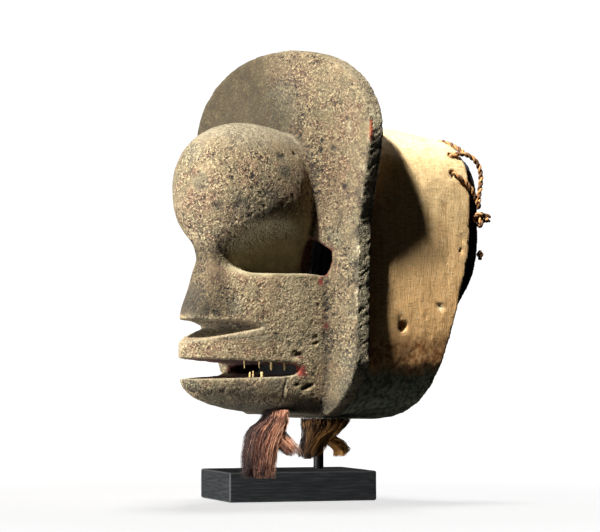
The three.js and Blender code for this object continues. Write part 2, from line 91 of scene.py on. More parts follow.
view_right = np.array([math.cos(VIEW_TURN), math.sin(VIEW_TURN), 0.0])
view_ahead = np.array([-math.sin(VIEW_TURN), math.cos(VIEW_TURN), 0.0])
lens = bpy.data.cameras.new("camera")
lens.lens = CAMERA_LENS
lens.clip_end = 20
camera = placed("camera", lens)
camera.location = CAMERA_ACROSS * view_right - CAMERA_DISTANCE * view_ahead + [0, 0, CAMERA_HEIGHT]
camera.rotation_euler = (math.pi / 2 + VIEW_PITCH, 0, VIEW_TURN)
bpy.context.scene.camera = camera
bpy.context.scene.view_settings.view_transform = "Standard"
print("camera at", tuple(round(v, 3) for v in camera.location))

# %% [markdown]
# ## Small tools for materials
# A material is a tree of nodes. These few helpers add a node, join it to others and name what it
# does, so that each finish below reads as a short recipe.


# %% Helpers for node trees
def colour(code):
    """The linear values of a screen colour such as "8b8063"."""
    parts = [int(code[i : i + 2], 16) / 255 for i in (0, 2, 4)]
    return [((c + 0.055) / 1.055) ** 2.4 if c > 0.04045 else c / 12.92 for c in parts] + [1]


class Bench:
    """Holds the node tree that is being built, so that no helper has to be told."""

    tree = None


def feed(socket, value):
    if isinstance(value, bpy.types.NodeSocket):
        Bench.tree.links.new(value, socket)
    else:
        socket.default_value = value


def add(kind, inputs=(), **settings):
    node = Bench.tree.nodes.new("ShaderNode" + kind)
    for name, value in settings.items():
        setattr(node, name, value)
    for place, value in dict(inputs).items():
        feed(node.inputs[place], value)
    return node


def mix(share, low, high, way="MIX"):
    return add("Mix", {0: share, 6: low, 7: high}, data_type="RGBA", blend_type=way).outputs[2]


def sums(way, first, second):
    return add("Math", {0: first, 1: second}, operation=way).outputs[0]


WAYS = ("MULTIPLY", "ADD", "SUBTRACT", "DIVIDE", "MAXIMUM")
times, plus, minus, over, larger = (partial(sums, way) for way in WAYS)


def between(value, low, high):
    """0 below low, 1 above high, and a soft step from one to the other."""
    inputs = {"Value": value, "From Min": low, "From Max": high}
    return add("MapRange", inputs, interpolation_type="SMOOTHSTEP").outputs[0]


def cloud(vector, size):
    """Smooth noise whose lumps are about as large as size, in metres."""
    inputs = {"Vector": vector, "Scale": 1 / size, "Detail": 3.0, "Roughness": 0.62}
    return add("TexNoise", inputs).outputs["Fac"]


def painted(name):
    """A value that is stored on the mesh, point by point."""
    return add("Attribute", attribute_name=name).outputs["Fac"]


def mottled(value, low, high, first, second):
    """Two colours that a pattern mixes."""
    return mix(between(value, low, high), colour(first), colour(second))


def coats(base, rows):
    """Colours laid over a base, one by one. Each row: where, how strongly, which colour."""
    for where, strength, code in rows:
        base = mix(times(where, strength), base, colour(code) if isinstance(code, str) else code)
    return base


def new_material(name, roughness, metallic=0.0):
    material = bpy.data.materials.new(name)
    material.use_nodes = True
    Bench.tree = material.node_tree
    shader = Bench.tree.nodes["Principled BSDF"]
    shader.inputs["Roughness"].default_value = roughness
    shader.inputs["Metallic"].default_value = metallic
    return material, shader, add("TexCoord").outputs["Object"]


def finish(shader, base, height, distance, strength=1.0, under=None):
    """Gives a shader its colour and its relief."""
    feed(shader.inputs["Base Color"], base)
    node = add("Bump", {"Height": height, "Distance": distance, "Strength": strength})
    if under is not None:
        feed(node.inputs["Normal"], under)
    feed(shader.inputs["Normal"], node.outputs[0])
    return node.outputs[0]


# %% [markdown]
# ## Effects that several finishes share
# Old wood shows the same few things again and again: grain, crusted specks, dust on what faces up,
# and wear along its edges. Each is a node group with named sockets, so every material below can use
# it with its own values. A group gives out only masks and heights, never a shader.


# %% The shared node groups
def new_group(name, numbers, outputs):
    """A group with a Vector socket, a socket for each number, and its outputs."""
    Bench.tree = tree = bpy.data.node_groups.new(name, "ShaderNodeTree")
    tree.interface.new_socket(name="Vector", in_out="INPUT", socket_type="NodeSocketVector")
    number = {"socket_type": "NodeSocketFloat"}
    for label, value in numbers.items():
        socket = tree.interface.new_socket(name=label, in_out="INPUT", **number)
        socket.default_value = value
    for label in outputs:
        tree.interface.new_socket(name=label, in_out="OUTPUT", **number)
    source = tree.nodes.new("NodeGroupInput").outputs
    return tree, source, tree.nodes.new("NodeGroupOutput").inputs


def size_noise(vector, size, factor, detail):
    """Noise for use in a group, where the size is itself a socket."""
    scale = over(1 / factor, size)
    inputs = {"Vector": vector, "Scale": scale, "Detail": detail, "Roughness": 0.65}
    return add("TexNoise", inputs).outputs["Fac"]


def grains_group():
    masks = ["Light", "Dark", "Height"]
    tree, source, target = new_group("crust grains", {"Grain Size": 0.002}, masks)
    vector, size = source["Vector"], source["Grain Size"]
    noise = add("TexNoise", {"Vector": vector, "Scale": over(1.0, size), "Detail": 2.0})
    centred = add("VectorMath", {0: noise.outputs["Color"], 1: (0.5,) * 3}, operation="SUBTRACT")
    shift = add("VectorMath", {0: centred.outputs[0], "Scale": times(size, 1.6)}, operation="SCALE")
    moved = add("VectorMath", {0: vector, 1: shift.outputs[0]}).outputs[0]
    fine = size_noise(vector, size, 0.8, 3.0)
    patchy = between(size_noise(vector, size, 6.0, 2.0), 0.38, 0.6)
    cells = add("TexVoronoi", {"Vector": moved, "Scale": over(0.55, size)}).outputs
    chance = add("SeparateColor", {"Color": cells["Color"]}).outputs["Red"]
    inward = minus(times(chance, 0.42), cells["Distance"])
    pit = between(inward, 0.0, 0.1)
    rim = between(inward, -0.2, -0.02)
    flecks = times(between(fine, 0.52, 0.64), minus(1.0, pit))
    feed(target["Light"], larger(flecks, times(minus(rim, pit), 0.5)))
    feed(target["Dark"], larger(between(fine, 0.42, 0.34), times(pit, patchy)))
    feed(target["Height"], minus(fine, times(pit, 0.6)))
    return tree


def grain_group():
    tree, source, target = new_group("wood grain", {"Line Width": 0.001}, ["Streak", "Fibre"])
    for name, factor in (("Streak", 6.0), ("Fibre", 1.0)):
        feed(target[name], size_noise(source["Vector"], source["Line Width"], factor, 3.0))
    return tree


def dust_group():
    tree, source, target = new_group("dust on top", {"Patch Size": 0.01}, ["Mask"])
    normal = add("NewGeometry").outputs["Normal"]
    upward = add("SeparateXYZ", {"Vector": normal}).outputs["Z"]
    patch = size_noise(source["Vector"], source["Patch Size"], 1.0, 4.0)
    feed(target["Mask"], times(between(upward, 0.25, 0.95), between(patch, 0.4, 0.62)))
    return tree


def wear_group():
    tree, source, target = new_group("edge wear", {"Edge": 0.0, "Patch Size": 0.006}, ["Mask"])
    patch = size_noise(source["Vector"], source["Patch Size"], 1.0, 4.0)
    feed(target["Mask"], between(plus(source["Edge"], times(patch, 0.9)), 0.95, 1.25))
    return tree


GRAINS = grains_group()
GRAIN = grain_group()
DUST = dust_group()
WEAR = wear_group()
print("shared effects:", [g.name for g in bpy.data.node_groups])


# %% One helper for each shared group
def grains_node(place, size):
    return add("Group", {"Vector": place, "Grain Size": size}, node_tree=GRAINS).outputs


def grain_node(place, size, stretch):
    scaled = add("Mapping", {"Vector": place, "Scale": stretch}).outputs[0]
    return add("Group", {"Vector": scaled, "Line Width": size}, node_tree=GRAIN).outputs


def dust_node(place, size):
    return add("Group", {"Vector": place, "Patch Size": size}, node_tree=DUST).outputs["Mask"]


def wear_node(place, edge, size):
    inputs = {"Vector": place, "Edge": edge, "Patch Size": size}
    return add("Group", inputs, node_tree=WEAR).outputs["Mask"]

# %% [markdown]
# ## Small tools for meshes
# Strands, rope plies and knots are all thin tubes along a line. One helper builds many tubes as one
# mesh and stores on each point where it lies round and along its tube. The finish can then run its
# fibres along the tube, which no flat pattern could do.


# %% Helpers for tubes
def unit(vectors):
    return vectors / np.maximum(np.linalg.norm(vectors, axis=-1, keepdims=True), 1e-9)


def new_piece(name, mesh, material, slot, *replaced):
    piece = placed(name, mesh)
    if material is not None:
        mesh.materials.append(material)
    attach(piece, "root")
    if replaced:
        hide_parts(*replaced)
    return piece


def store(mesh, name, values, kind="FLOAT"):
    layer = mesh.attributes.new(name, kind, "POINT").data
    flat = np.asarray(values, dtype=np.float32).ravel()
    layer.foreach_set("value" if kind == "FLOAT" else "vector", flat)


def tubes(name, lines, radii, sides, beside, tone=None):
    """One mesh of closed tubes: lines is tubes x points x 3, radii is tubes x points."""
    many, steps, _ = lines.shape
    ahead = unit(np.gradient(lines, axis=1))
    across = unit(np.cross(ahead, beside))
    outward = np.cross(across, ahead)
    turn = 2 * math.pi * np.arange(sides) / sides
    ring = across[:, :, None] * np.cos(turn)[:, None] + outward[:, :, None] * np.sin(turn)[:, None]
    points = lines[:, :, None] + ring * radii[:, :, None, None]
    start = (np.arange(many * steps) * sides).reshape(many, steps)
    near, far = start[:, :-1, None], start[:, 1:, None]
    side, following = np.arange(sides), (np.arange(sides) + 1) % sides
    quads = np.stack([near + side, near + following, far + following, far + side], axis=-1)
    faces = quads.reshape(-1, 4).tolist()
    faces += (start[:, :1] + side[::-1]).tolist() + (start[:, -1:] + side).tolist()
    mesh = bpy.data.meshes.new(name)
    mesh.from_pydata(points.reshape(-1, 3).tolist(), [], faces)
    mesh.shade_smooth()
    gone = np.cumsum(np.linalg.norm(np.diff(lines, axis=1, prepend=lines[:, :1]), axis=-1), axis=1)
    flow = np.zeros((many, steps, sides, 3))
    flow[..., 0] = np.cos(turn)
    flow[..., 1] = np.sin(turn)
    flow[..., 2] = (gone / MM)[:, :, None]
    store(mesh, "flow", flow, "FLOAT_VECTOR")
    shade = np.zeros(many) if tone is None else tone
    store(mesh, "tone", np.repeat(shade, steps * sides))
    return mesh


def smooth_line(points, spacing):
    """A smooth curve through the points, with even steps."""
    rows = np.array(points, dtype=float)
    rows = np.vstack([2 * rows[0] - rows[1], rows, 2 * rows[-1] - rows[-2]])
    fine = []
    for a, b, c, d in zip(rows, rows[1:], rows[2:], rows[3:]):
        t = np.linspace(0, 1, 24, endpoint=False)[:, None]
        bend, twist = 2 * a - 5 * b + 4 * c - d, 3 * b - 3 * c + d - a
        fine.append(0.5 * (2 * b + (c - a) * t + bend * t**2 + twist * t**3))
    fine = np.vstack(fine + [rows[-2:-1]])
    gone = np.insert(np.cumsum(np.linalg.norm(np.diff(fine, axis=0), axis=1)), 0, 0)
    count = max(int(gone[-1] / spacing), 4)
    at = np.linspace(0, gone[-1], count)
    return np.stack([np.interp(at, gone, fine[:, i]) for i in range(3)], axis=1)


def carried_normal(line):
    """A direction square to the line that turns no more than the line does."""
    ahead = unit(np.gradient(line, axis=0))
    start = np.cross(ahead[0], [0.3, 0.2, 1.0])
    carried = [start / np.linalg.norm(start)]
    for direction in ahead[1:]:
        flat = carried[-1] - direction * np.dot(carried[-1], direction)
        carried.append(flat / np.linalg.norm(flat))
    return ahead, np.array(carried)


def twisted_rope(name, line, diameter, lay, plies=2, sides=8):
    """A rope of plies that wind round each other once in each lay length."""
    ahead, normal = carried_normal(line)
    side = np.cross(ahead, normal)
    gone = np.insert(np.cumsum(np.linalg.norm(np.diff(line, axis=0), axis=1)), 0, 0)
    lines, outward = [], []
    for ply in range(plies):
        turn = (2 * math.pi * (gone / lay + ply / plies))[:, None]
        away = normal * np.cos(turn) + side * np.sin(turn)
        lines.append(line + away * diameter * 0.21)
        outward.append(away)
    radii = np.full((plies, len(line)), diameter * 0.29)
    radii[:, [0, -1]] *= 0.75
    tone = np.linspace(-0.2, 0.2, plies)
    return tubes(name, np.array(lines), radii, sides, np.array(outward), tone)


# %% [markdown]
# ## The rope
# The rope is two plies of brown plant fibre. It was tied through the lacing holes to hold a hood.
# A rope could be a plain tube with a striped picture on it, but its outline would stay smooth.
# Here two real plies wind round each other, and fine fibres run along each ply.


# %% The rope's finish
def fibre_material(name, dark, middle, light, roughness, relief):
    material, shader, _ = new_material(name, roughness)
    flow = add("Attribute", attribute_name="flow").outputs["Vector"]
    fibre = grain_node(flow, 0.33, (1, 1, 0.12))["Fibre"]
    tone = plus(times(painted("tone"), 0.6), fibre)
    base = coats(mottled(tone, 0.3, 0.52, dark, middle), [(between(tone, 0.52, 0.72), 1, light)])
    finish(shader, base, fibre, relief)
    return material


ROPE = fibre_material("rope fibre", "3f2717", "8f6238", "c4955c", 0.85, 0.0005)

# %% [markdown]
# The two free lengths follow the same points as their solids. Each leaves a lacing hole, bends
# over the rim and hangs into the knot, so both count as cords with their real length.

# %% The free lengths of rope
ROPE_DIAMETER = 0.0054
STRAND_DIAMETER = 0.0046
ROPE_LAY = 0.0115
LOOP_ROUTE = [
    (90.5, 142.5, 342.2), (93.6, 145.6, 344.2), (96, 149.5, 345.4), (97.8, 154, 345.8),
    (99.2, 158.8, 345.2), (100.8, 163.6, 343.2), (102.2, 168, 340), (103.2, 171.6, 335.6),
    (103.8, 174, 330), (104, 175, 324), (104, 174.8, 317.6), (103.8, 173.8, 311),
    (103.6, 172.6, 304.6), (103.6, 172, 298), (103.8, 171.8, 291.2),
]
STRAND_ROUTE = [
    (100.5, 136.5, 325.6), (102.8, 138.7, 324.1), (104.4, 141.2, 322.3), (105.6, 143.9, 320.4),
    (106.6, 146.6, 318.5), (107.3, 149.3, 316.3), (107.9, 151.8, 313.9), (108.3, 154.3, 311.5),
    (108.6, 156.6, 308.9), (108.7, 158.8, 306.1), (108.8, 160.7, 303.2), (108.8, 162.5, 300.2),
    (108.8, 164.1, 297), (108.7, 165.3, 293.7), (108.6, 166.4, 290.4),
]
STITCH_ROUTE = [
    (57, 161.2, 360.4), (63, 160.8, 360.6), (70, 160.6, 359), (77, 160.5, 356.6),
    (84, 160.5, 353.4), (89, 160.6, 350.8), (93, 161, 347.8),
]


def in_frame(route):
    return np.array(route, dtype=float) * MM + MASK_PLACE


def line_length(line):
    return float(np.linalg.norm(np.diff(line, axis=0), axis=1).sum())


def rope_piece(name, route, diameter, *replaced):
    line = smooth_line(in_frame(route), 0.0008)
    piece = new_piece(name, twisted_rope(name, line, diameter, ROPE_LAY), ROPE, "rope", *replaced)
    print(name, "is", round(line_length(line) * 1000, 1), "mm long")
    return piece, line


loop_rope, loop_line = rope_piece("loop_rope", LOOP_ROUTE, ROPE_DIAMETER, "rope_loop")
strand_rope, strand_line = rope_piece("strand_rope", STRAND_ROUTE, STRAND_DIAMETER, "rope_strand")
rope_piece("stitch_rope", STITCH_ROUTE, ROPE_DIAMETER, "rim_stitch")

# %% [markdown]
# The knot is a three-crossing knot pulled tight, which is the simplest closed form that reads as
# tied from every side. It is a formula rather than a list of points, and fills its solid's box.
# The two rope ends stick out behind it, cut off and a little thinner at the tip.


# %% The knots
def knot_line(centre, half, steps=150):
    turn = np.linspace(0, 2 * math.pi, steps, endpoint=False)
    loop = np.stack(
        [
            np.sin(3 * turn) * half[0],
            (np.sin(turn) + 2 * np.sin(2 * turn)) / 3 * half[1],
            (np.cos(turn) - 2 * np.cos(2 * turn)) / 3 * half[2],
        ],
        axis=1,
    )
    return np.array(centre) + loop


def joined(name, meshes):
    """Several meshes as one, with their stored values kept."""
    objects = [placed(name, mesh) for mesh in meshes]
    with bpy.context.temp_override(active_object=objects[0], selected_editable_objects=objects):
        bpy.ops.object.join()
    mesh = objects[0].data
    bpy.data.objects.remove(objects[0])
    return mesh


def knot_in(name, node, diameter, share, tail_share):
    """A knot that fills the first share of its node's box along Y, with its tails in the rest."""
    low, high = (np.array(v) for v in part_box(node))
    length = high - low
    centre = (low + high) / 2
    centre[1] = low[1] + length[1] * share / 2
    half = length / 2 - diameter / 2
    half[1] = length[1] * share / 2 - diameter / 2
    rear = high[1] - diameter / 2
    line = knot_line(centre, half)
    parts = [twisted_rope(name + "_bight", np.vstack([line, line[:1]]), diameter, ROPE_LAY)]
    for lift in tail_share:
        start = centre + np.array([0, half[1] * 0.3, lift * half[2]])
        end = np.array([centre[0] + lift * 0.001, rear, centre[2] + lift * half[2] * 0.7])
        middle = (start + end) / 2 + np.array([0.0, 0.0, 0.001])
        line = smooth_line([start, middle, end], 0.0008)
        parts.append(twisted_rope(name + "_tail", line, diameter, ROPE_LAY))
    return new_piece(name, joined(name, parts), ROPE, "rope", node)


tied_knot = knot_in("tied_knot", "rope_knot", 0.0048, 0.72, (-0.35, 0.5))
low_knot = knot_in("low_knot", "small_knot", 0.0042, 1.0, ())
print("knots:", [len(p.data.polygons) for p in (tied_knot, low_knot)])

# %% [markdown]
# ## The carved wood
# The solid has the right forms, but flat facets and sharp edges. Real carved wood is wavy from the
# blade, worn round at the edges, and on this face covered with a dried, grainy crust. Sculpting by
# hand can't be repeated, so the surface is remeshed into small even faces, the facets are relaxed
# away from the sharp edges, and seeded noise moves every point along its normal.


# %% Seeded noise on points
def corner_value(cell, seed):
    """A repeatable number from 0 to 1 for each whole-number cell."""
    wide = cell.astype(np.int64)
    mixed = wide[..., 0] * 73856093 ^ wide[..., 1] * 19349663 ^ wide[..., 2] * 83492791
    mixed = mixed ^ seed * 2654435761
    mixed = (mixed ^ (mixed >> 13)) * 1274126177 & 0x7FFFFFFF
    mixed = (mixed ^ (mixed >> 15)) * 668265263 & 0x7FFFFFFF
    return (mixed & 0xFFFFF) / 0xFFFFF


def lumps(points, size, seed, octaves=2):
    """Smooth noise from -1 to 1 with lumps of that size."""
    total = np.zeros(len(points))
    weight = 1.0
    for octave in range(octaves):
        spot = points / size * 2**octave
        cell = np.floor(spot)
        share = spot - cell
        share = share * share * (3 - 2 * share)
        for corner in np.ndindex(2, 2, 2):
            part = np.prod(np.where(corner, share, 1 - share), axis=1)
            total += weight * part * (2 * corner_value(cell + corner, seed + octave) - 1)
        weight *= 0.5
    return total


def pocks(points, size, seed, share):
    """1 in the middle of scattered round pits, 0 outside them."""
    spot = points / size
    cell = np.floor(spot)
    deepest = np.zeros(len(points))
    for step in np.ndindex(3, 3, 3):
        home = cell + np.array(step) - 1
        middle = home + np.stack([corner_value(home, seed + i) for i in (1, 2, 3)], axis=1)
        wide = 0.25 + 0.35 * corner_value(home, seed + 4)
        away = np.linalg.norm(spot - middle, axis=1) / wide
        shown = corner_value(home, seed + 5) < share
        deepest = np.maximum(deepest, np.where(shown, np.clip(1 - away, 0, 1), 0))
    return deepest * deepest * (3 - 2 * deepest)


def step(low, high, value):
    share = np.clip((value - low) / (high - low), 0, 1)
    return share * share * (3 - 2 * share)


def span(value, start, low, high, end):
    """1 from low to high, and 0 before start and after end."""
    return step(start, low, value) * step(end, high, value)


def local(points):
    """Points in the mask's own frame, in millimetres, where the board's face is at Y = 0."""
    return (points - MASK_PLACE) / MM


# %% Remesh the solid into small even faces
def read(items, name, width=3, kind=np.float32):
    """One stored value of all points, edges or faces, as rows."""
    flat = np.empty(len(items) * width, dtype=kind)
    items.foreach_get(name, flat)
    return flat.reshape(-1, width)


def points_of(mesh):
    return read(mesh.vertices, "co").astype(float)


def normals_of(mesh):
    return read(mesh.vertex_normals, "vector").astype(float)


def pairs_of(mesh):
    return read(mesh.edges, "vertices", 2, np.int32)


def put_points(mesh, points):
    mesh.vertices.foreach_set("co", points.astype(np.float32).ravel())
    mesh.update()


def sharp_points(mesh, angle, spacing):
    """Points along sharp outer edges. Inner corners are left out, so they get a hollow."""
    shape = bmesh.new()
    shape.from_mesh(mesh)
    bmesh.ops.remove_doubles(shape, verts=shape.verts, dist=1e-6)
    spots = []
    for edge in shape.edges:
        if edge.is_manifold and edge.is_convex and edge.calc_face_angle() > angle:
            a, b = (np.array(v.co) for v in edge.verts)
            count = max(int(np.linalg.norm(b - a) / spacing), 1)
            spots += [a + (b - a) * i / count for i in range(count + 1)]
    shape.free()
    return np.array(spots)


def modified(mesh, kind, **settings):
    """The mesh that a modifier makes."""
    shape = placed(kind, mesh)
    modifier = shape.modifiers.new(kind, kind)
    for name, value in settings.items():
        setattr(modifier, name, value)
    graph = bpy.context.evaluated_depsgraph_get()
    graph.update()
    result = bpy.data.meshes.new_from_object(shape.evaluated_get(graph))
    bpy.data.objects.remove(shape)
    return result


def remeshed(mesh, voxel):
    return modified(mesh.copy(), "REMESH", mode="VOXEL", voxel_size=voxel)


def relaxed(points, pairs, strength, rounds):
    """Each point moves towards the middle of its neighbours, by its own strength."""
    count = np.maximum(np.bincount(pairs.ravel(), minlength=len(points)), 1)[:, None]
    for _ in range(rounds):
        total = np.empty_like(points)
        for axis in range(3):
            total[:, axis] = np.bincount(pairs[:, 0], points[pairs[:, 1], axis], len(points))
            total[:, axis] += np.bincount(pairs[:, 1], points[pairs[:, 0], axis], len(points))
        points = points + strength[:, None] * (total / count - points)
    return points


def distance_to(points, spots, reach):
    tree = KDTree(len(spots))
    for i, spot in enumerate(spots):
        tree.insert(spot, i)
    tree.balance()
    return np.array([min(tree.find(p)[2], reach) for p in points])


MASK_VOXEL = 0.0013
SHARP_ANGLE = math.radians(30)
EDGE_REACH = 0.012


def soft_places(spots):
    """Where the carving is round although the solid has edges."""
    x, y, z = spots.T
    bridge = step(-58, -78, y) * span(z, 206, 216, 262, 275)
    nose = step(-86, -98, y) * span(z, 176, 184, 250, 262)
    brow = span(z, 240, 247, 284, 292) * span(y, -114, -104, -12, -5) * step(4, 14, np.abs(x))
    return np.maximum.reduce([bridge, nose, brow])


wood = remeshed(nodes["mask"].data, MASK_VOXEL)
edge_spots = sharp_points(nodes["mask"].data, SHARP_ANGLE, 0.0015)
wood_points = points_of(wood)
edge_away = distance_to(wood_points, edge_spots, EDGE_REACH)
soft = soft_places(local(wood_points))
print("remeshed points:", len(wood_points), "edge spots:", len(edge_spots))

# %% [markdown]
# The facets go, the edges stay: relaxing is full strength a few millimetres away from a sharp edge
# and only slight on it. That leaves each edge with the small rounding of handled wood.

# %% Relax the facets
pairs = pairs_of(wood)
away_share = np.maximum(step(0.0012, 0.005, edge_away), soft)
wood_points = relaxed(wood_points, pairs, 0.12 + 0.38 * away_share, 5)
wood_points = relaxed(wood_points, pairs, 0.5 * away_share, 40)
wood_points = relaxed(wood_points, pairs, 0.5 * soft, 110)
put_points(wood, wood_points)
print("relaxed")

# %% [markdown]
# The wood is one piece, but it has three surfaces: the crusted face, the bare hull and the dark
# hollow. These tests tell them apart from a point's place alone, so the relief and the colours
# agree with each other.

# %% Tell the surfaces apart
BOARD_REAR = 19.0
HOLLOW_FRONT = 10.0
HULL_WAIST = 290.0
HULL_FRONT = 12.0
RIM_LINE = [(79, 100), (90, 109), (120, 120.5), (211, 145), (240, 153.5), (262, 157)]
HULL_HALF = (90.0, 106.0)
HULL_RISE = (82.0, 88.0)
HULL_DROP = (209.0, 211.0)
HULL_POWERS = (2.9, 4.0)
WALL_MIDDLE = 0.955


def hull_share(spots):
    """How far out a point lies: 1 on the hull's outside, less inside it."""
    rim = np.interp(spots[:, 2], [row[0] for row in RIM_LINE], [row[1] for row in RIM_LINE])
    depth = np.clip((spots[:, 1] - HULL_FRONT) / (rim - HULL_FRONT), 0, 1)
    above = spots[:, 2] > HULL_WAIST
    ends = (HULL_HALF, HULL_RISE, HULL_DROP)
    half, rise, drop = (front + (rear - front) * depth for front, rear in ends)
    high = np.where(above, rise, drop)
    power = np.where(above, HULL_POWERS[0], HULL_POWERS[1])
    across = np.abs(spots[:, 0]) / half
    upward = np.abs(spots[:, 2] - HULL_WAIST) / high
    return (across**power + upward**power) ** (1 / power)


def zones(spots):
    share = hull_share(spots)
    hollow = (spots[:, 1] > HOLLOW_FRONT) & (share < WALL_MIDDLE)
    hull = (spots[:, 1] > BOARD_REAR) & ~hollow
    return hull.astype(float), hollow.astype(float)


# %% [markdown]
# Some marks are not noise: gouges on the cheek, two deep pits on the forehead, a crack in the jaw.
# Each is a soft dent with a place, a direction and a depth, as a blade or a fall would leave it.

# %% The named marks
# each row: place, direction, half length, half width, depth, all in millimetres
DENTS = [
    ((58.3, -12.1, 154.8), (0, 1, 0.3), 6, 1.6, 1.6),
    ((55.0, -34.5, 143.1), (0, 1, 0.1), 7, 2.4, 2.2), ((54, -38, 146), (0, 1, 0.5), 5, 1.5, 1.2),
    ((56.9, -22.9, 112.2), (0, 1, 0.35), 7, 2.0, 2.2),
    ((54.6, -35.5, 114.2), (0, 1, 0.2), 4, 1.6, 1.4),
    ((44.9, -28.8, 338.4), (0, 1, 0), 3, 2.6, 2.8),
    ((51, -53.4, 334.6), (0, 1, -0.2), 5.5, 2.4, 1.4), ((53, -53, 332), (0, 1, 0), 8, 4.5, 0.8),
    ((46.1, -102.4, 286.3), (0.7, 0.6, 0.4), 8, 3.2, 1.0),
    ((31, -118, 285), (0.7, 0.6, 0), 4, 3.0, 0.9), ((53, 0, 352.3), (0, 0, 1), 3, 2.4, 1.0),
    ((51.6, 0, 343.6), (0, 0, 1), 3, 2.2, 1.0), ((68.3, 0, 344.5), (1, 0, 0), 3, 2.2, 0.9),
    ((83.4, 0, 306.7), (1, 0, 1), 4, 3.4, 1.0), ((98.3, 0, 219.1), (0, 0, 1), 5, 3.0, 1.1),
    ((100.5, 0.5, 246), (1, 0, 0.6), 4.5, 2.6, 2.2),
    ((101.9, 117.6, 191.1), (0, 1, -0.5), 5.5, 3.4, 1.6),
    ((104.8, 144.2, 247.5), (0, 0, 1), 2.5, 1.6, 1.2),
    ((102.9, 125.6, 236), (0, 0, 1), 3, 1.2, 0.8),
]
JAW_CRACK = [(53, -47, 121), (51.9, -47.5, 116), (50.3, -49, 109), (47.5, -47.6, 102)]
JAW_CRACK += [(43, -48.7, 95.5)]


def dent_depth(spots):
    depth = np.zeros(len(spots))
    for place, direction, half_length, half_width, deep in DENTS:
        ahead = np.array(direction) / np.linalg.norm(direction)
        away = spots - place
        along = away @ ahead
        beside = np.linalg.norm(away - along[:, None] * ahead, axis=1)
        away = (along / half_length) ** 2 + (beside / half_width) ** 2
        depth = np.maximum(depth, deep * np.exp(-away))
    return depth


def crack_away(spots):
    """Distance from the crack that runs down the jaw's near side."""
    line = smooth_line(JAW_CRACK, 0.5)
    near = np.full(len(spots), 50.0)
    close = np.linalg.norm(spots - line.mean(axis=0), axis=1) < 30
    gaps = np.linalg.norm(spots[close][:, None] - line[None], axis=2)
    near[close] = gaps.min(axis=1)
    return near


def roughness_of(spots):
    """Where the crust is thick: not in the orbits, and thin on the board's upper left."""
    x, y, z = spots.T
    hull, hollow = zones(spots)
    face = 1 - np.maximum(hull, hollow)
    orbit = span(z, 212, 224, 240, 262) * span(y, -98, -80, -12, -4)
    calm = step(25, -25, x + 0.35 * (z - 400)) * step(352, 378, z) * step(-6, -2, y)
    patch = 0.75 + 0.5 * lumps(spots, 22, 13, 1)
    return face * (1 - 0.8 * orbit) * (1 - 0.72 * calm) * patch


def crust_height(spots):
    """Scales, grains and pits of the crust, in millimetres."""
    scales = 0.5 - np.abs(lumps(spots, 5.2, 21, 1))
    grains = lumps(spots, 3.0, 22)
    pits = np.maximum(0.9 * pocks(spots, 7.5, 31, 0.3), 0.75 * pocks(spots, 4.8, 41, 0.4))
    pits = np.maximum(pits, 0.45 * pocks(spots, 3.4, 45, 0.35))
    return 0.34 * scales + 0.17 * grains - pits


def hull_height(spots):
    """Broad blade marks, upright grain and a few checks of the bare wood, in millimetres."""
    blade = 0.3 * lumps(spots * [1, 1, 0.4], 14, 51, 1)
    grain = 0.1 * lumps(spots * [1, 1, 0.12], 2.6, 52, 2)
    across = 0.1 * lumps(spots * [0.15, 0.15, 1], 2.8, 53, 1)
    dents = 0.5 * pocks(spots, 13, 54, 0.16)
    return blade + grain + across - dents


def relief(spots, edge):
    """How far each point moves along its normal, in millimetres."""
    x, y, z = spots.T
    hull, hollow = zones(spots)
    rough = roughness_of(spots)
    blade = 0.36 * lumps(spots, 26, 11) + 0.2 * lumps(spots, 10, 12)
    chips = 1.5 * np.clip(lumps(spots, 6.5, 61) - 0.3, 0, 1)
    chips += 0.5 * np.clip(lumps(spots, 2.8, 62), 0, 1)
    near_edge = step(4.0, 0.4, edge) * (1 - soft_places(spots))
    worn_edge = step(70, 90, np.abs(x)) * span(y, 0, 3, 18, 22)
    slanted = np.stack([x, y * 0.5 + z * 0.4, z - y * 0.6], axis=1)
    scratches = np.clip(lumps(slanted * [1, 0.3, 1], 2.6, 71), 0, 1)
    moved = blade + rough * crust_height(spots) + (hull + 0.6 * hollow) * hull_height(spots)
    moved -= near_edge * chips * (0.35 + 0.5 * np.clip(rough, 0, 1))
    moved -= worn_edge * scratches * 0.55
    moved -= dent_depth(spots)
    return moved - 1.0 * np.exp(-((crack_away(spots) / 0.9) ** 2))


# %% Move the points and thin the mesh
MASK_TRIANGLES = 192000


def thinned(mesh, triangles):
    """Fewer faces, with the most kept where the surface is roughest. It works in millimetres."""
    put_points(mesh, points_of(mesh) / MM)
    now = sum(len(p.vertices) - 2 for p in mesh.polygons)
    result = modified(mesh, "DECIMATE", ratio=min(triangles / now, 1))
    put_points(result, points_of(result) * MM)
    return result


def kept_in_box(points, low, high):
    return np.clip(points, np.array(low), np.array(high))


def bulge(points, normals, pairs, rounds):
    """How far each point stands out from its surroundings, in millimetres."""
    even = relaxed(points, pairs, np.full(len(points), 0.5), rounds)
    return ((points - even) * normals).sum(axis=1) / MM


spots = local(points_of(wood))
moved = relief(spots, edge_away / MM)
wood_points = points_of(wood) + normals_of(wood) * (moved * MM)[:, None]
put_points(wood, kept_in_box(wood_points, *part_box("mask")))
stands_out = bulge(points_of(wood), normals_of(wood), pairs, 7)
print("stands out, in mm, 2 to 98 percent:", np.percentile(stands_out, [2, 50, 98]).round(2))
store(wood, "bulge", stands_out)
wood = thinned(wood, MASK_TRIANGLES)
wood.shade_smooth()
print("mask faces:", len(wood.polygons))
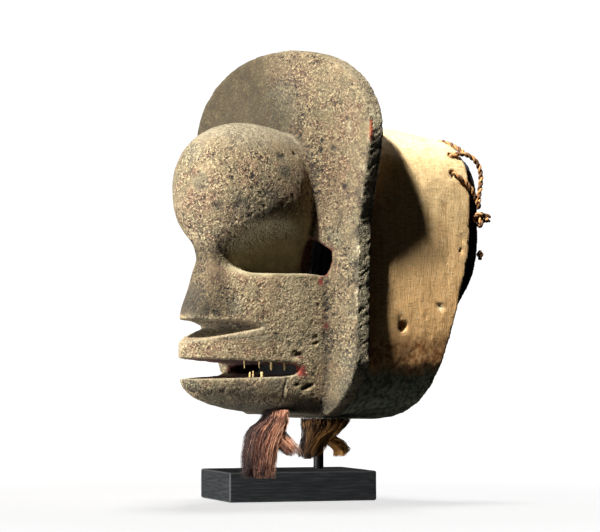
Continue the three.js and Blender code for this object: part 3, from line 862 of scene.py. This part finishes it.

# %% [markdown]
# ## Where the colours go
# Pigment, stains, wear, and painted light and shade are not everywhere. Each is stored on the mesh
# as a value from 0 to 1, from simple spots and bands that are broken up by noise, and the materials
# below read these values.

# %% Paint the values
HULL_CHIP = np.array([101.9, 118.2, 190.5])
# each row: place and radius of a soft spot, in millimetres
STAINED = [
    (44.9, -28.8, 338.4, 4), (51, -53.4, 334.6, 6), (46.1, -102.4, 286.3, 9), (31, -118, 285, 6),
    (56.2, -51.7, 320.9, 8), (59, -68.9, 295.9, 7), (53, 0, 352.3, 4), (51.6, 0, 343.6, 4),
    (68.3, 0, 344.5, 4), (83.4, 0, 306.7, 5), (98.3, 0, 219.1, 5), (98, 0, 104, 16),
    (103, 0, 300, 6), (101, 0, 260, 7), (23.5, 0, 368, 4), (-1, -124, 195, 20), (10, -128, 180, 14),
    (33, -88, 104, 16), (16, -110, 100, 16),
]
GREENISH = [
    (90, 0, 112, 18), (94, 0, 140, 13), (1.4, -122.6, 337.4, 14), (17.3, -127.7, 307.5, 10),
    (6.5, -130, 114, 12), (70, 0, 258, 11), (48, -55, 117, 12), (0, 0, 395, 30),
    (35, -100, 190, 12), (98, 0, 235, 10),
]
REDDISH = [
    (58.7, -7, 214.1, 3.6), (56, -30, 128, 6), (46, -32, 131, 9), (59, -1, 171, 3),
]
RUSTY = [
    (44, -92, 318, 14), (10, -130, 290, 16), (52, -40, 300, 14), (20, 0, 415, 16), (90, 0, 370, 18),
    (16.7, -120.4, 116.4, 8), (60, -10, 175, 14), (70, 0, 320, 20), (62, -20, 290, 12),
    (20, -125, 290, 14), (24, -108, 222, 12),
]


def near(spots, rows, wobble):
    """The strongest of several soft spots at each point."""
    strongest = np.zeros(len(spots))
    for x, y, z, radius in rows:
        away = np.linalg.norm(spots - [x, y, z], axis=1)
        strongest = np.maximum(strongest, step(1.25, 0.55, away / radius + 0.35 * wobble))
    return strongest


spots = local(points_of(wood))
edge = distance_to(points_of(wood), edge_spots, EDGE_REACH) / MM
hull, hollow = zones(spots)
face = 1 - np.maximum(hull, hollow)
x, y, z = spots.T
aside = np.abs(x)
wobble = lumps(spots, 9, 81)
fine = lumps(spots, 3, 82)

ball_top = step(338, 362, z + 6 * wobble) * step(-1, -6, y)
# Painted highlight: a thin pale line along the upper edge of the lower jaw.
jaw_edge_highlight = step(3.2, 1.0, edge) * span(z, 119, 122, 126, 129) * step(-30, -36, y)
lip_edge = 0.6 * step(3, 1, edge) * span(z, 146, 150, 170, 176) * step(-60, -75, y)
chip = near(spots, [(100.5, 0.5, 246, 4.5)], fine)
crack = np.exp(-((crack_away(spots) / 1.3) ** 2))
pale_wear_and_highlight = np.maximum.reduce([ball_top * 0.95, jaw_edge_highlight * 0.8, lip_edge, chip, crack * 0.8])

board_edge = face * step(0.5, 3.0, y + 1.2 * wobble) * step(60, 96, aside + 4 * fine)
board_edge = np.maximum(board_edge, face * step(3, 6, y) * step(300, 330, z))
in_mouth = face * span(z, 118, 121, 140, 143) * step(6, 9, edge) * step(-26, -30, y)
in_throat = face * span(z, 122.5, 124, 134, 135.5) * step(-34, -30, y) * step(52, 49, aside)
# Painted shade under the jaw. The board is also darker along its bottom.
jaw_under = face * step(104, 92, z + 4 * wobble) * step(0, -4, y)
low_board = face * step(108, 96, z + 3 * wobble) * step(-6, -2, y) * 0.7
# Painted light: the eye hollows under the forehead are lightened.
orbit_painted_light = face * span(z, 219, 224, 262, 285) * span(y, -98, -80, -5, -1.5)
# Painted shade in the crease where the muzzle meets the board.
crease = face * step(5, 0, np.abs(y + 1)) * step(66, 57, aside) * step(215, 200, z) * 0.35
stain_and_painted_shade = np.maximum.reduce([near(spots, STAINED, fine) * 0.75, jaw_under * 0.9, low_board, crease])

eye_rim = face * step(3.4, 0.8, edge) * span(aside, 24, 27, 66, 69)
eye_rim = eye_rim * span(z, 218, 221, 256, 259) * step(-8, -3, y)
in_eye = face * span(aside, 24, 28, 66.5, 67.5) * span(z, 219, 220.6, 255, 257)
in_eye = in_eye * step(0.6, 1.6, y)
streak = step(2.2, 1.0, np.abs(y - 2.6 + 0.4 * fine)) * span(z, 347, 350, 368, 371)
streak = streak * step(110, 113, x)
eye_rim = eye_rim * step(-0.6, 0.1, fine + 0.25) * 0.9
red = np.maximum.reduce([near(spots, REDDISH, fine), eye_rim, in_eye * 0.5])
mouth_red = in_mouth * step(-44, -34, y) * step(0, 30, x) * step(126, 131, z)
red = np.maximum(red, mouth_red)

# Painted shade: the flat board is darkened, most at its upper left, and so are the nose front and,
# a little, the forehead.
flat_board = face * step(-9, -3, y)
upper_left = step(30, -30, x + 0.4 * (z - 385)) * step(330, 360, z)
painted_shade = flat_board * (0.5 + 0.45 * upper_left - 0.12 * step(300, 340, z) * step(20, 60, x))
painted_shade = np.maximum(painted_shade, face * step(-92, -104, y) * span(z, 176, 186, 240, 262) * 0.8)
painted_shade = np.maximum(painted_shade, face * step(-9, -20, y) * step(262, 280, z) * 0.3)
# Painted light: the muzzle's sides are lightened and kept out of the painted shade.
sides = face * step(46, 50, aside) * span(y, -60, -45, -9, -4) * span(z, 125, 145, 214, 222)
top_board = step(372, 392, z) * step(10, 40, x)
board_edge = board_edge * (1 - 0.75 * top_board)
outline = face * step(-3, 0, y) * step(8, 2.5, edge + 2 * fine) * step(60, 76, aside)
outline = outline * step(392, 372, z)
layers = {
    "crust": np.clip(roughness_of(spots), 0, 1.2),
    "edge": step(6, 0.5, edge) * (1 - soft_places(spots)),
    # pale wear, and a painted highlight on the jaw's edge
    "pale_wear_and_highlight": pale_wear_and_highlight,
    # stains, a darker board bottom, and painted shade under the jaw and in the crease
    "stain_and_painted_shade": stain_and_painted_shade,
    "green": near(spots, GREENISH, wobble) * face,
    "rust": near(spots, RUSTY, wobble) * face,
    "red": red,
    "orange": streak * face,
    "boardedge": board_edge,
    "dark": np.maximum(in_mouth * 0.92, in_throat),
    # painted light in the eye hollows
    "orbit": orbit_painted_light,
    # painted light on the muzzle's sides
    "cheek": sides,
    "outline": outline,
    # painted shade on board, nose and forehead, less on the muzzle's sides
    "painted_shade": np.clip(painted_shade - 0.5 * sides + 0.08 * wobble, 0, 1),
    "light_hull": step(1.2, 0.5, np.linalg.norm(spots - HULL_CHIP, axis=1) / 4.5 + 0.3 * fine),
}
for name, values in layers.items():
    store(wood, name, values)
print("painted:", ", ".join(layers))

# %% [markdown]
# ## The crusted face
# The face is grey-olive with a fine crust of light grains and dark pits, rubbed pale on top of the
# forehead and dark along the board's edge. A single colour with bump would look like plastic. The
# layers go on as they did in life: wood tone, patches, grains, then stains, pigment and wear.
# Painted
# light and shade go on with them: lighter eye hollows and muzzle sides, a highlight on the jaw's
# edge, and a darker board, nose, forehead, jaw underside and crease.


# %% The face's finish
def crust_material():
    material, shader, place = new_material("crusted face", 0.95)
    grains, coarse = grains_node(place, 0.0026), grains_node(place, 0.0052)
    lines = grain_node(place, 0.0011, (1, 1, 0.3))
    small = cloud(place, 0.012)
    crust, stands, outline = painted("crust"), painted("bulge"), painted("outline")
    base = coats(
        mottled(cloud(place, 0.038), 0.4, 0.62, "75634a", "625740"),
        [
            (between(small, 0.5, 0.64), 0.7, "6b4c3a"),
            (between(crust, 0.5, 0.1), 1, "5f5539"),
            (painted("rust"), 0.35, "704b39"),
            (painted("green"), 0.5, "474b40"),
        ],
    )
    thick = times(crust, plus(0.45, times(between(small, 0.38, 0.6), 0.75)))
    ridges = times(between(stands, 0.04, 0.3), minus(1.0, painted("edge")))
    inner = times(painted("edge"), minus(1.0, outline))
    base = coats(
        base,
        [
            (times(plus(times(thick, 0.75), 0.2), grains["Light"]), 1, "c4b48c"),
            (ridges, 0.55, "b9a67d"),
            (between(stands, -0.02, -0.25), 0.9, "1d1812"),
            (times(larger(grains["Dark"], coarse["Dark"]), thick), 0.92, "211b12"),
            # painted light: the eye hollows are lightened
            (painted("orbit"), 0.8, mottled(small, 0.4, 0.6, "9a8f71", "b0a482")),
            # pale wear, and a painted highlight on the jaw's edge
            (painted("pale_wear_and_highlight"), 1, mottled(cloud(place, 0.0035), 0.42, 0.6, "968c74", "6e6450")),
            # stains, a darker board bottom, and painted shade under the jaw and in the crease
            (painted("stain_and_painted_shade"), 0.75, "25241f"),
            (painted("boardedge"), 1, mottled(lines["Fibre"], 0.42, 0.6, "8c8168", "e6dab6")),
            # painted light on the muzzle's sides
            (painted("cheek"), 0.3, "a99c7b"),
            (times(outline, between(small, 0.4, 0.56)), 0.55, "37332a"),
            (wear_node(place, inner, 0.005), 0.3, "82785f"),
            (painted("dark"), 1, "52291f"),
            (painted("red"), 1, "742a20"),
            (painted("orange"), 1, "9c4d2b"),
            (dust_node(place, 0.012), 0.3, "857c66"),
        ],
    )
    # Painted shade darkens the board, the nose front and the forehead.
    base = mix(painted("painted_shade"), base, mix(1.0, base, colour("746b55"), "MULTIPLY"))
    strong = plus(times(thick, 0.8), 0.2)
    under = finish(shader, base, grains["Height"], 0.0018, strong)
    finish(shader, base, coarse["Height"], 0.002, strong, under)
    return material


# %% [markdown]
# ## The bare hull
# The hull was never crusted. It is pale wood that yellowed in use, with fine upright grain, light
# tool marks across it, brown stains and a foot that is blackened by handling and soot.


# %% The hull's finish
def hull_material():
    material, shader, place = new_material("bare hull", 0.8)
    lines = grain_node(place, 0.0009, (1, 1, 0.09))
    cross = grain_node(place, 0.0011, (0.12, 0.12, 1))
    height = add("SeparateXYZ", {"Vector": place}).outputs["Z"]
    upward = plus(height, times(minus(cloud(place, 0.02), 0.5), 0.03))
    red_band = times(between(upward, 0.118, 0.13), between(upward, 0.172, 0.148))
    patchy = plus(0.35, times(between(cloud(place, 0.006), 0.4, 0.6), 0.65))
    foot = mottled(cloud(place, 0.005), 0.4, 0.6, "8b9276", "4d5242")
    base = coats(
        mottled(height, 0.16, 0.36, "f6c482", "e8ca94"),
        [
            (between(lines["Streak"], 0.45, 0.7), 0.4, "a87843"),
            (between(lines["Fibre"], 0.5, 0.68), 0.3, "8d6236"),
            (between(cross["Fibre"], 0.54, 0.66), 0.5, "eedcb0"),
            (between(cross["Fibre"], 0.46, 0.36), 0.35, "8d6236"),
            (between(cloud(place, 0.03), 0.55, 0.75), 0.3, "a0733f"),
            (times(red_band, patchy), 1, "96602f"),
            (between(upward, 0.134, 0.12), 1, foot),
            (grains_node(place, 0.002)["Dark"], 0.3, "5d452b"),
            (painted("light_hull"), 1, "f0e0b4"),
            (wear_node(place, painted("edge"), 0.006), 0.5, "8d6a43"),
            (dust_node(place, 0.02), 0.3, "e4d6b2"),
        ],
    )
    lifted = finish(shader, base, lines["Fibre"], 0.0006)
    finish(shader, base, cross["Fibre"], 0.0004, 0.6, lifted)
    return material


# %% [markdown]
# The hollow is nearly black from smoke and sweat, so it only needs the grain and a slight sheen
# where the rim lets light in.


# %% The hollow's finish
def hollow_material():
    material, shader, place = new_material("dark hollow", 0.8)
    fibre = grain_node(place, 0.0012, (1, 1, 0.1))["Fibre"]
    dust = dust_node(place, 0.02)
    base = coats(mottled(fibre, 0.4, 0.65, "15110e", "2b221a"), [(dust, 0.4, "4d4032")])
    finish(shader, base, fibre, 0.0008)
    return material


# %% [markdown]
# The wall between hull and hollow is thin, and its edges are worn, so place alone can't tell the
# two apart there. A face of the wall that looks outward is hull, and one that looks inward is
# hollow.

# %% Give each face its finish
LOOK_AHEAD = 4  # millimetres
SURELY_INSIDE, SURELY_OUTSIDE = 0.88, 0.985
LOOKS_INWARD = -0.012
centres = local(read(wood.polygons, "center"))
share = hull_share(centres)
outward = hull_share(centres + LOOK_AHEAD * read(wood.polygon_normals, "vector")) - share
behind = centres[:, 1] > BOARD_REAR
inside = (share < SURELY_INSIDE) | ((outward < LOOKS_INWARD) & (share < SURELY_OUTSIDE))
hollow = np.where(behind, inside, (centres[:, 1] > HOLLOW_FRONT) & (share < WALL_MIDDLE))
hull = behind & (hollow == 0)
wood.materials.clear()
for material in (crust_material(), hull_material(), hollow_material()):
    wood.materials.append(material)
chosen = np.where(hollow > 0, 2, np.where(hull > 0, 1, 0)).astype(np.int32)
wood.polygons.foreach_set("material_index", chosen)
new_piece("carved_mask", wood, None, "carved_wood", "mask")
print("faces on face, hull and hollow:", np.bincount(chosen).tolist())

# %% [markdown]
# ## The teeth
# The teeth are slivers of split cane pushed into holes. A lathe-turned peg would be too even, so
# each is a tube that bends a little, swells and narrows towards its tip.


# %% The teeth
def cane_material():
    material, shader, place = new_material("split cane", 0.6)
    fibre = grain_node(place, 0.0005, (1, 1, 0.15))["Fibre"]
    worn = wear_node(place, 0.25, 0.003)
    base = coats(mottled(fibre, 0.4, 0.65, "c9ad74", "8f7040"), [(worn, 0.5, "7b6137")])
    finish(shader, base, fibre, 0.0003)
    return material


def tooth_piece(node, material, seed):
    low, high = (np.array(v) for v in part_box(node))
    chance = np.random.default_rng(seed)
    middle = (low + high) / 2
    radius = (high[0] - low[0]) / 2
    upright = np.linspace(low[2], high[2], 12)
    share = np.linspace(0, 1, 12)
    lean = chance.uniform(-0.12, 0.12, 2) * radius
    across, back = middle[0] + lean[0] * share**2, middle[1] + lean[1] * share**2
    line = np.stack([across, back, upright], axis=1)
    wide = radius * (0.86 + 0.1 * np.sin(share * 5 + seed))
    tip = share if node.startswith("lower") else 1 - share
    wide = wide * (1 - 0.35 * step(0.7, 1.0, tip))
    peg = tubes("peg_" + node, line[None], wide[None], 12, np.array([1.0, 0, 0]))
    return new_piece("peg_" + node, peg, material, "cane", node)


CANE = cane_material()
teeth = [tooth_piece(n, CANE, i) for i, n in enumerate(sorted(n for n in nodes if "tooth" in n))]
print("teeth:", len(teeth))

# %% [markdown]
# ## What is left of the hood
# A dark, matted band of the old hood still lines the rim and bulges out behind it. It is thick and
# stiff with dirt, so it is not a sheet that hangs: its solid is remeshed and ruffled into small
# folds that run down the band. Its patches of blue are painted light.


# %% The hood's remnant
def hood_material():
    material, shader, place = new_material("matted hood", 0.95)
    fibre = grain_node(place, 0.0011, (1, 0.3, 0.3))["Fibre"]
    # Painted light: patches of bluish light on the dark band.
    blue_painted_light = between(cloud(place, 0.025), 0.5, 0.6)
    base = coats(mottled(fibre, 0.42, 0.64, "0d0b0a", "26211d"), [(blue_painted_light, 0.6, "1d2c3d")])
    finish(shader, base, fibre, 0.0012)
    return material


band = remeshed(nodes["hood_remnant"].data, 0.0011)
band_points = points_of(band)
band_points = relaxed(band_points, pairs_of(band), np.full(len(band_points), 0.4), 2)
put_points(band, band_points)
spots = local(band_points)
ruffle = 0.35 * lumps(spots * [1, 0.3, 1], 5, 91) + 0.25 * lumps(spots, 2.2, 92)
outer = 0.3 + 0.9 * step(158, 168, spots[:, 1])
band_points = band_points + normals_of(band) * ((ruffle + outer) * MM)[:, None]
put_points(band, kept_in_box(band_points, *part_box("hood_remnant")))
band.shade_smooth()
band.materials.clear()
new_piece("hood_band", band, hood_material(), "hood_fibre", "hood_remnant")
print("hood faces:", len(band.polygons))

# %% [markdown]
# ## The fibre tufts
# Bundles of red-brown plant fibre hang under the jaw. Each strand is a real thin tube, because
# loose fibre is seen by its outline. A strand keeps its place in the bundle from root to tip and
# wanders a little on the way, so the bundle fills the same space as its solid.


# %% Strands that follow a bundle
def bundle_strands(foot, rows, count, clumps, thick, wander, seed, tone=0.0):
    """Strands through the sections of a bundle. Each row: height, shift, half width, half depth."""
    chance = np.random.default_rng(seed)
    rows = np.array(sorted(rows, reverse=True), dtype=float)
    steps = 9
    along = np.linspace(0, 1, steps)
    home = chance.integers(0, clumps, count)
    clump_angle = chance.uniform(0, 2 * math.pi, clumps)
    clump_reach = 0.92 * np.sqrt(chance.uniform(0, 1, clumps))
    clump = np.stack([clump_reach * np.cos(clump_angle), clump_reach * np.sin(clump_angle)], axis=1)
    loose = chance.normal(0, 0.3, (count, 2))
    gather = 1 - 0.55 * np.sin(along * 2.2)[None, :, None]
    place = clump[home][:, None] + loose[:, None] * gather
    over = np.maximum(np.linalg.norm(place, axis=-1, keepdims=True), 1)
    place = place / over
    begins = chance.uniform(0, 0.16, count) ** 1.3
    clump_end = 1 - chance.uniform(0, 0.3, clumps)
    ends = np.clip(clump_end[home] + chance.normal(0, 0.04, count), 0.4, 1)
    share = along[None] * (ends - begins)[:, None] + begins[:, None]
    at = share * (len(rows) - 1)
    height, shift, wide, deep = (np.interp(at, np.arange(len(rows)), rows[:, i]) for i in range(4))
    drift = np.cumsum(chance.normal(0, wander, (count, steps, 2)), axis=1)
    drift += np.cumsum(chance.normal(0, wander * 1.4, (clumps, steps, 2)), axis=1)[home]
    across = shift + wide * place[..., 0] + drift[..., 0]
    back = deep * place[..., 1] + drift[..., 1]
    lines = across[..., None] * view_right + back[..., None] * view_ahead
    lines[..., :2] += foot
    lines[..., 2] = height
    taper = 1 - 0.6 * along**2
    radii = thick * chance.uniform(0.7, 1.25, count)[:, None] * taper[None]
    clump_tone_and_painted_light = chance.normal(0, 0.3, clumps)
    # Painted light and shade: clumps towards the camera's right are lighter and those at the back
    # darker.
    clump_tone_and_painted_light += tone + 0.6 * clump[:, 0] - 0.4 * clump[:, 1]
    return lines * MM + MASK_PLACE, radii * MM, clump_tone_and_painted_light[home] + chance.normal(0, 0.1, count)


def strands_mesh(name, groups):
    lines, radii, tones = (np.concatenate(part) for part in zip(*groups))
    return tubes(name, lines, radii, 3, np.array([0.36, 0.93, 0.05]), tones)


FIBRE = fibre_material("red-brown fibre", "2e1710", "8a5038", "d09a78", 0.8, 0.0003)
DARK_FIBRE = fibre_material("dark fibre", "1d110b", "5a3520", "c08b4a", 0.85, 0.0003)
FRONT_FOOT = (30, -55)
REAR_FOOT = (30, 18)
FRONT_BODY = [
    (24, -7, 16, 7), (36, -6, 16, 8), (50, -4, 16, 8), (62, -1, 17, 8), (72, 3, 17, 8),
    (80, 10, 12, 6), (90.4, 11, 11, 5),
]
FRONT_SPRAY = [(45, 27, 5, 5), (54, 22, 8, 5), (64, 13, 9, 5), (74, 6, 8, 5)]
REAR_BODY = [
    (41, -12, 4, 4), (48, -9, 8, 5), (56, -5, 11, 6), (64, -1, 14, 7), (72, 5, 20, 7),
    (81.2, 7, 24, 7),
]
REAR_BRANCH = [(43, 18, 5, 5), (50, 20, 7, 5), (58, 13, 9, 5), (66, 2, 9, 5)]

front_groups = [
    bundle_strands(FRONT_FOOT, FRONT_BODY, 2900, 120, 0.22, 0.36, 101, -0.42),
    bundle_strands(FRONT_FOOT, FRONT_SPRAY, 640, 30, 0.22, 0.5, 102, -0.15),
]
front_mesh = strands_mesh("front_fringe", front_groups)
new_piece("front_fringe", front_mesh, FIBRE, "fibre", "front_tuft")
rear_groups = [
    bundle_strands(REAR_FOOT, REAR_BODY, 1900, 70, 0.25, 0.55, 103, -0.1),
    bundle_strands(REAR_FOOT, REAR_BRANCH, 650, 24, 0.25, 0.5, 104, 0.7),
]
rear_mesh = strands_mesh("rear_fringe", rear_groups)
new_piece("rear_fringe", rear_mesh, DARK_FIBRE, "dark_fibre", "rear_tuft")
print("strand faces:", len(front_mesh.polygons), len(rear_mesh.polygons))

# %% [markdown]
# ## The stand
# The plinth is a block painted satin black, with grain just showing and its edges rubbed. A plain
# block with a bevel would do for its form, but light catches on small flaws, so it gets a fine mesh
# that is moved by a tenth of a millimetre. The post is a rod with a soft edge at each end.


# %% The plinth and the post
def stand_material(name, base_code, line_code, roughness, metallic=0.0):
    material, shader, place = new_material(name, roughness, metallic)
    fibre = grain_node(place, 0.0012, (0.05, 0.05, 1))["Fibre"]
    rows = [
        (wear_node(place, painted("edge"), 0.004), 0.5, "4c4d4c"),
        (dust_node(place, 0.02), 0.12, "6b6a66"),
    ]
    finish(shader, coats(mottled(fibre, 0.42, 0.66, base_code, line_code), rows), fibre, 0.0003)
    feed(shader.inputs["Roughness"], plus(roughness - 0.08, times(cloud(place, 0.01), 0.2)))
    return material


def stand_piece(name, node, slot, material, voxel, waves):
    mesh = remeshed(nodes[node].data, voxel)
    spots = sharp_points(nodes[node].data, SHARP_ANGLE, 0.001)
    points = points_of(mesh)
    away = distance_to(points, spots, 0.01)
    points = relaxed(points, pairs_of(mesh), 0.1 + 0.4 * step(0.0008, 0.002, away), 3)
    put_points(mesh, points)
    points = points + normals_of(mesh) * (lumps(points, 0.02, 121)[:, None] * waves)
    put_points(mesh, kept_in_box(points, *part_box(node)))
    store(mesh, "edge", step(0.0025, 0.0004, away))
    mesh.shade_smooth()
    mesh.materials.clear()
    return new_piece(name, mesh, material, slot, node)


satin = stand_material("satin black", "1d1e1f", "2e3031", 0.5)
satin.node_tree.nodes["Principled BSDF"].inputs["Specular IOR Level"].default_value = 0.25
block = stand_piece("block", "plinth", "plinth_paint", satin, 0.0013, 0.0001)
steel = stand_material("black rod", "0e0e0e", "181818", 0.45, 0.3)
rod = stand_piece("rod", "post", "post_steel", steel, 0.0007, 0.00004)
print("stand faces:", len(block.data.polygons), len(rod.data.polygons))

# %% [markdown]
# ## Floor and light
# The photograph has a white ground without a horizon, one hard light from the camera's left and a
# soft fill. The floor runs up into a curved backdrop, and glows a little by itself, so that it is
# white without flooding the mask with light. The glow is weaker near the stand, which paints a soft
# shadow round it.


# %% The floor
def stage_mesh(width, near_edge, bend_start, bend_radius, height):
    """A strip that runs away from the camera and curves up."""
    rows = [(-near_edge, 0.0), (bend_start, 0.0)]
    for i in range(1, 25):
        turn = math.pi / 2 * i / 24
        rows.append((bend_start + bend_radius * math.sin(turn), bend_radius * (1 - math.cos(turn))))
    rows.append((bend_start + bend_radius, height))
    points, faces = [], []
    for ahead, up in rows:
        for side in (-width / 2, width / 2):
            points.append(tuple(view_right * side + view_ahead * ahead + np.array([0, 0, up])))
    for i in range(len(rows) - 1):
        faces.append((2 * i, 2 * i + 1, 2 * i + 3, 2 * i + 2))
    mesh = bpy.data.meshes.new("floor")
    mesh.from_pydata(points, [], faces)
    mesh.shade_smooth()
    return mesh


material, shader, place = new_material("white ground", 0.9)
seen = add("LightPath").outputs["Is Camera Ray"]
feed(shader.inputs["Base Color"], mix(seen, (0, 0, 0, 1), (0.8, 0.8, 0.8, 1)))
shader.inputs["Specular IOR Level"].default_value = 0.0
shader.inputs["Emission Color"].default_value = (1, 1, 1, 1)
away = add("VectorMath", {0: place}, operation="LENGTH").outputs["Value"]
# The glow is weaker near the stand: a painted shadow round it.
glow_with_painted_shadow = plus(0.74, times(between(away, 0.25, 1.3), 0.34))
feed(shader.inputs["Emission Strength"], times(seen, glow_with_painted_shadow))
ground = stage_mesh(width=16, near_edge=14, bend_start=4.6, bend_radius=1.2, height=4)
floor = placed("floor", ground)
floor.data.materials.append(material)
floor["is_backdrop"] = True

# %% [markdown]
# The key light is small and strong, because the board's shadow on the hull has a firm edge. Its
# direction was found from where that shadow ends. It and the fills light the mask alone, while a
# soft light from above and the painted shadow in the floor's glow give the ground its faint shadow.
# The block has a light of its own, because its front is evenly lit in the photograph.


# %% The lights
def lamp(name, towards, distance, size, power, tint=(1, 1, 1)):
    """A square light that shines on the mask from a direction."""
    data = bpy.data.lights.new(name, "AREA")
    data.size = size
    data.energy = power
    data.color = tint
    light = placed(name, data)
    away = np.array(towards) / np.linalg.norm(towards)
    centre = np.array([0, 0, 0.25])
    light.location = centre + away * distance
    light.rotation_euler = Vector(away).to_track_quat("Z", "Y").to_euler()
    return light


top = lamp("top", (-0.2, 0.22, 0.95), 2.4, 0.6, 19)
key = lamp("key", (0.155, -0.635, 0.757), 3.0, 0.24, 365, (1.0, 0.98, 0.94))
on_the_mask = [
    key,
    lamp("fill", (-0.45, -0.89, 0.0), 2.0, 1.1, 36),
    lamp("low fill", (-0.3, -0.88, -0.36), 1.2, 0.6, 21),
    lamp("bounce", (-0.02, -0.35, -0.93), 1.2, 0.8, 2.4),
    lamp("back", (-0.1, 0.9, 0.45), 2.0, 0.5, 12),
]
block_light = lamp("block light", (0.45, -0.85, 0.28), 2.0, 0.8, 44)


def linked(name, pieces):
    group = bpy.data.collections.new(name)
    for piece in pieces:
        group.objects.link(piece)
    return group


whole = linked("lit pieces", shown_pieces())
for light in on_the_mask:
    light.light_linking.receiver_collection = whole
    light.light_linking.blocker_collection = whole
but_the_block = [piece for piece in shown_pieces() if piece is not block]
key.light_linking.receiver_collection = linked("lit by the key", but_the_block)
top.light_linking.receiver_collection = linked("lit ground", [floor])
block_light.light_linking.receiver_collection = linked("lit block", [block])
block_light.light_linking.blocker_collection = linked("block alone", [block])
world = bpy.data.worlds.new("soft room")
bpy.context.scene.world = world
world.use_nodes = True
Bench.tree = world.node_tree
sky = Bench.tree.nodes["Background"].inputs
sky["Color"].default_value = (1, 1, 1, 1)
feed(sky["Strength"], plus(0.012, add("LightPath").outputs["Is Camera Ray"]))
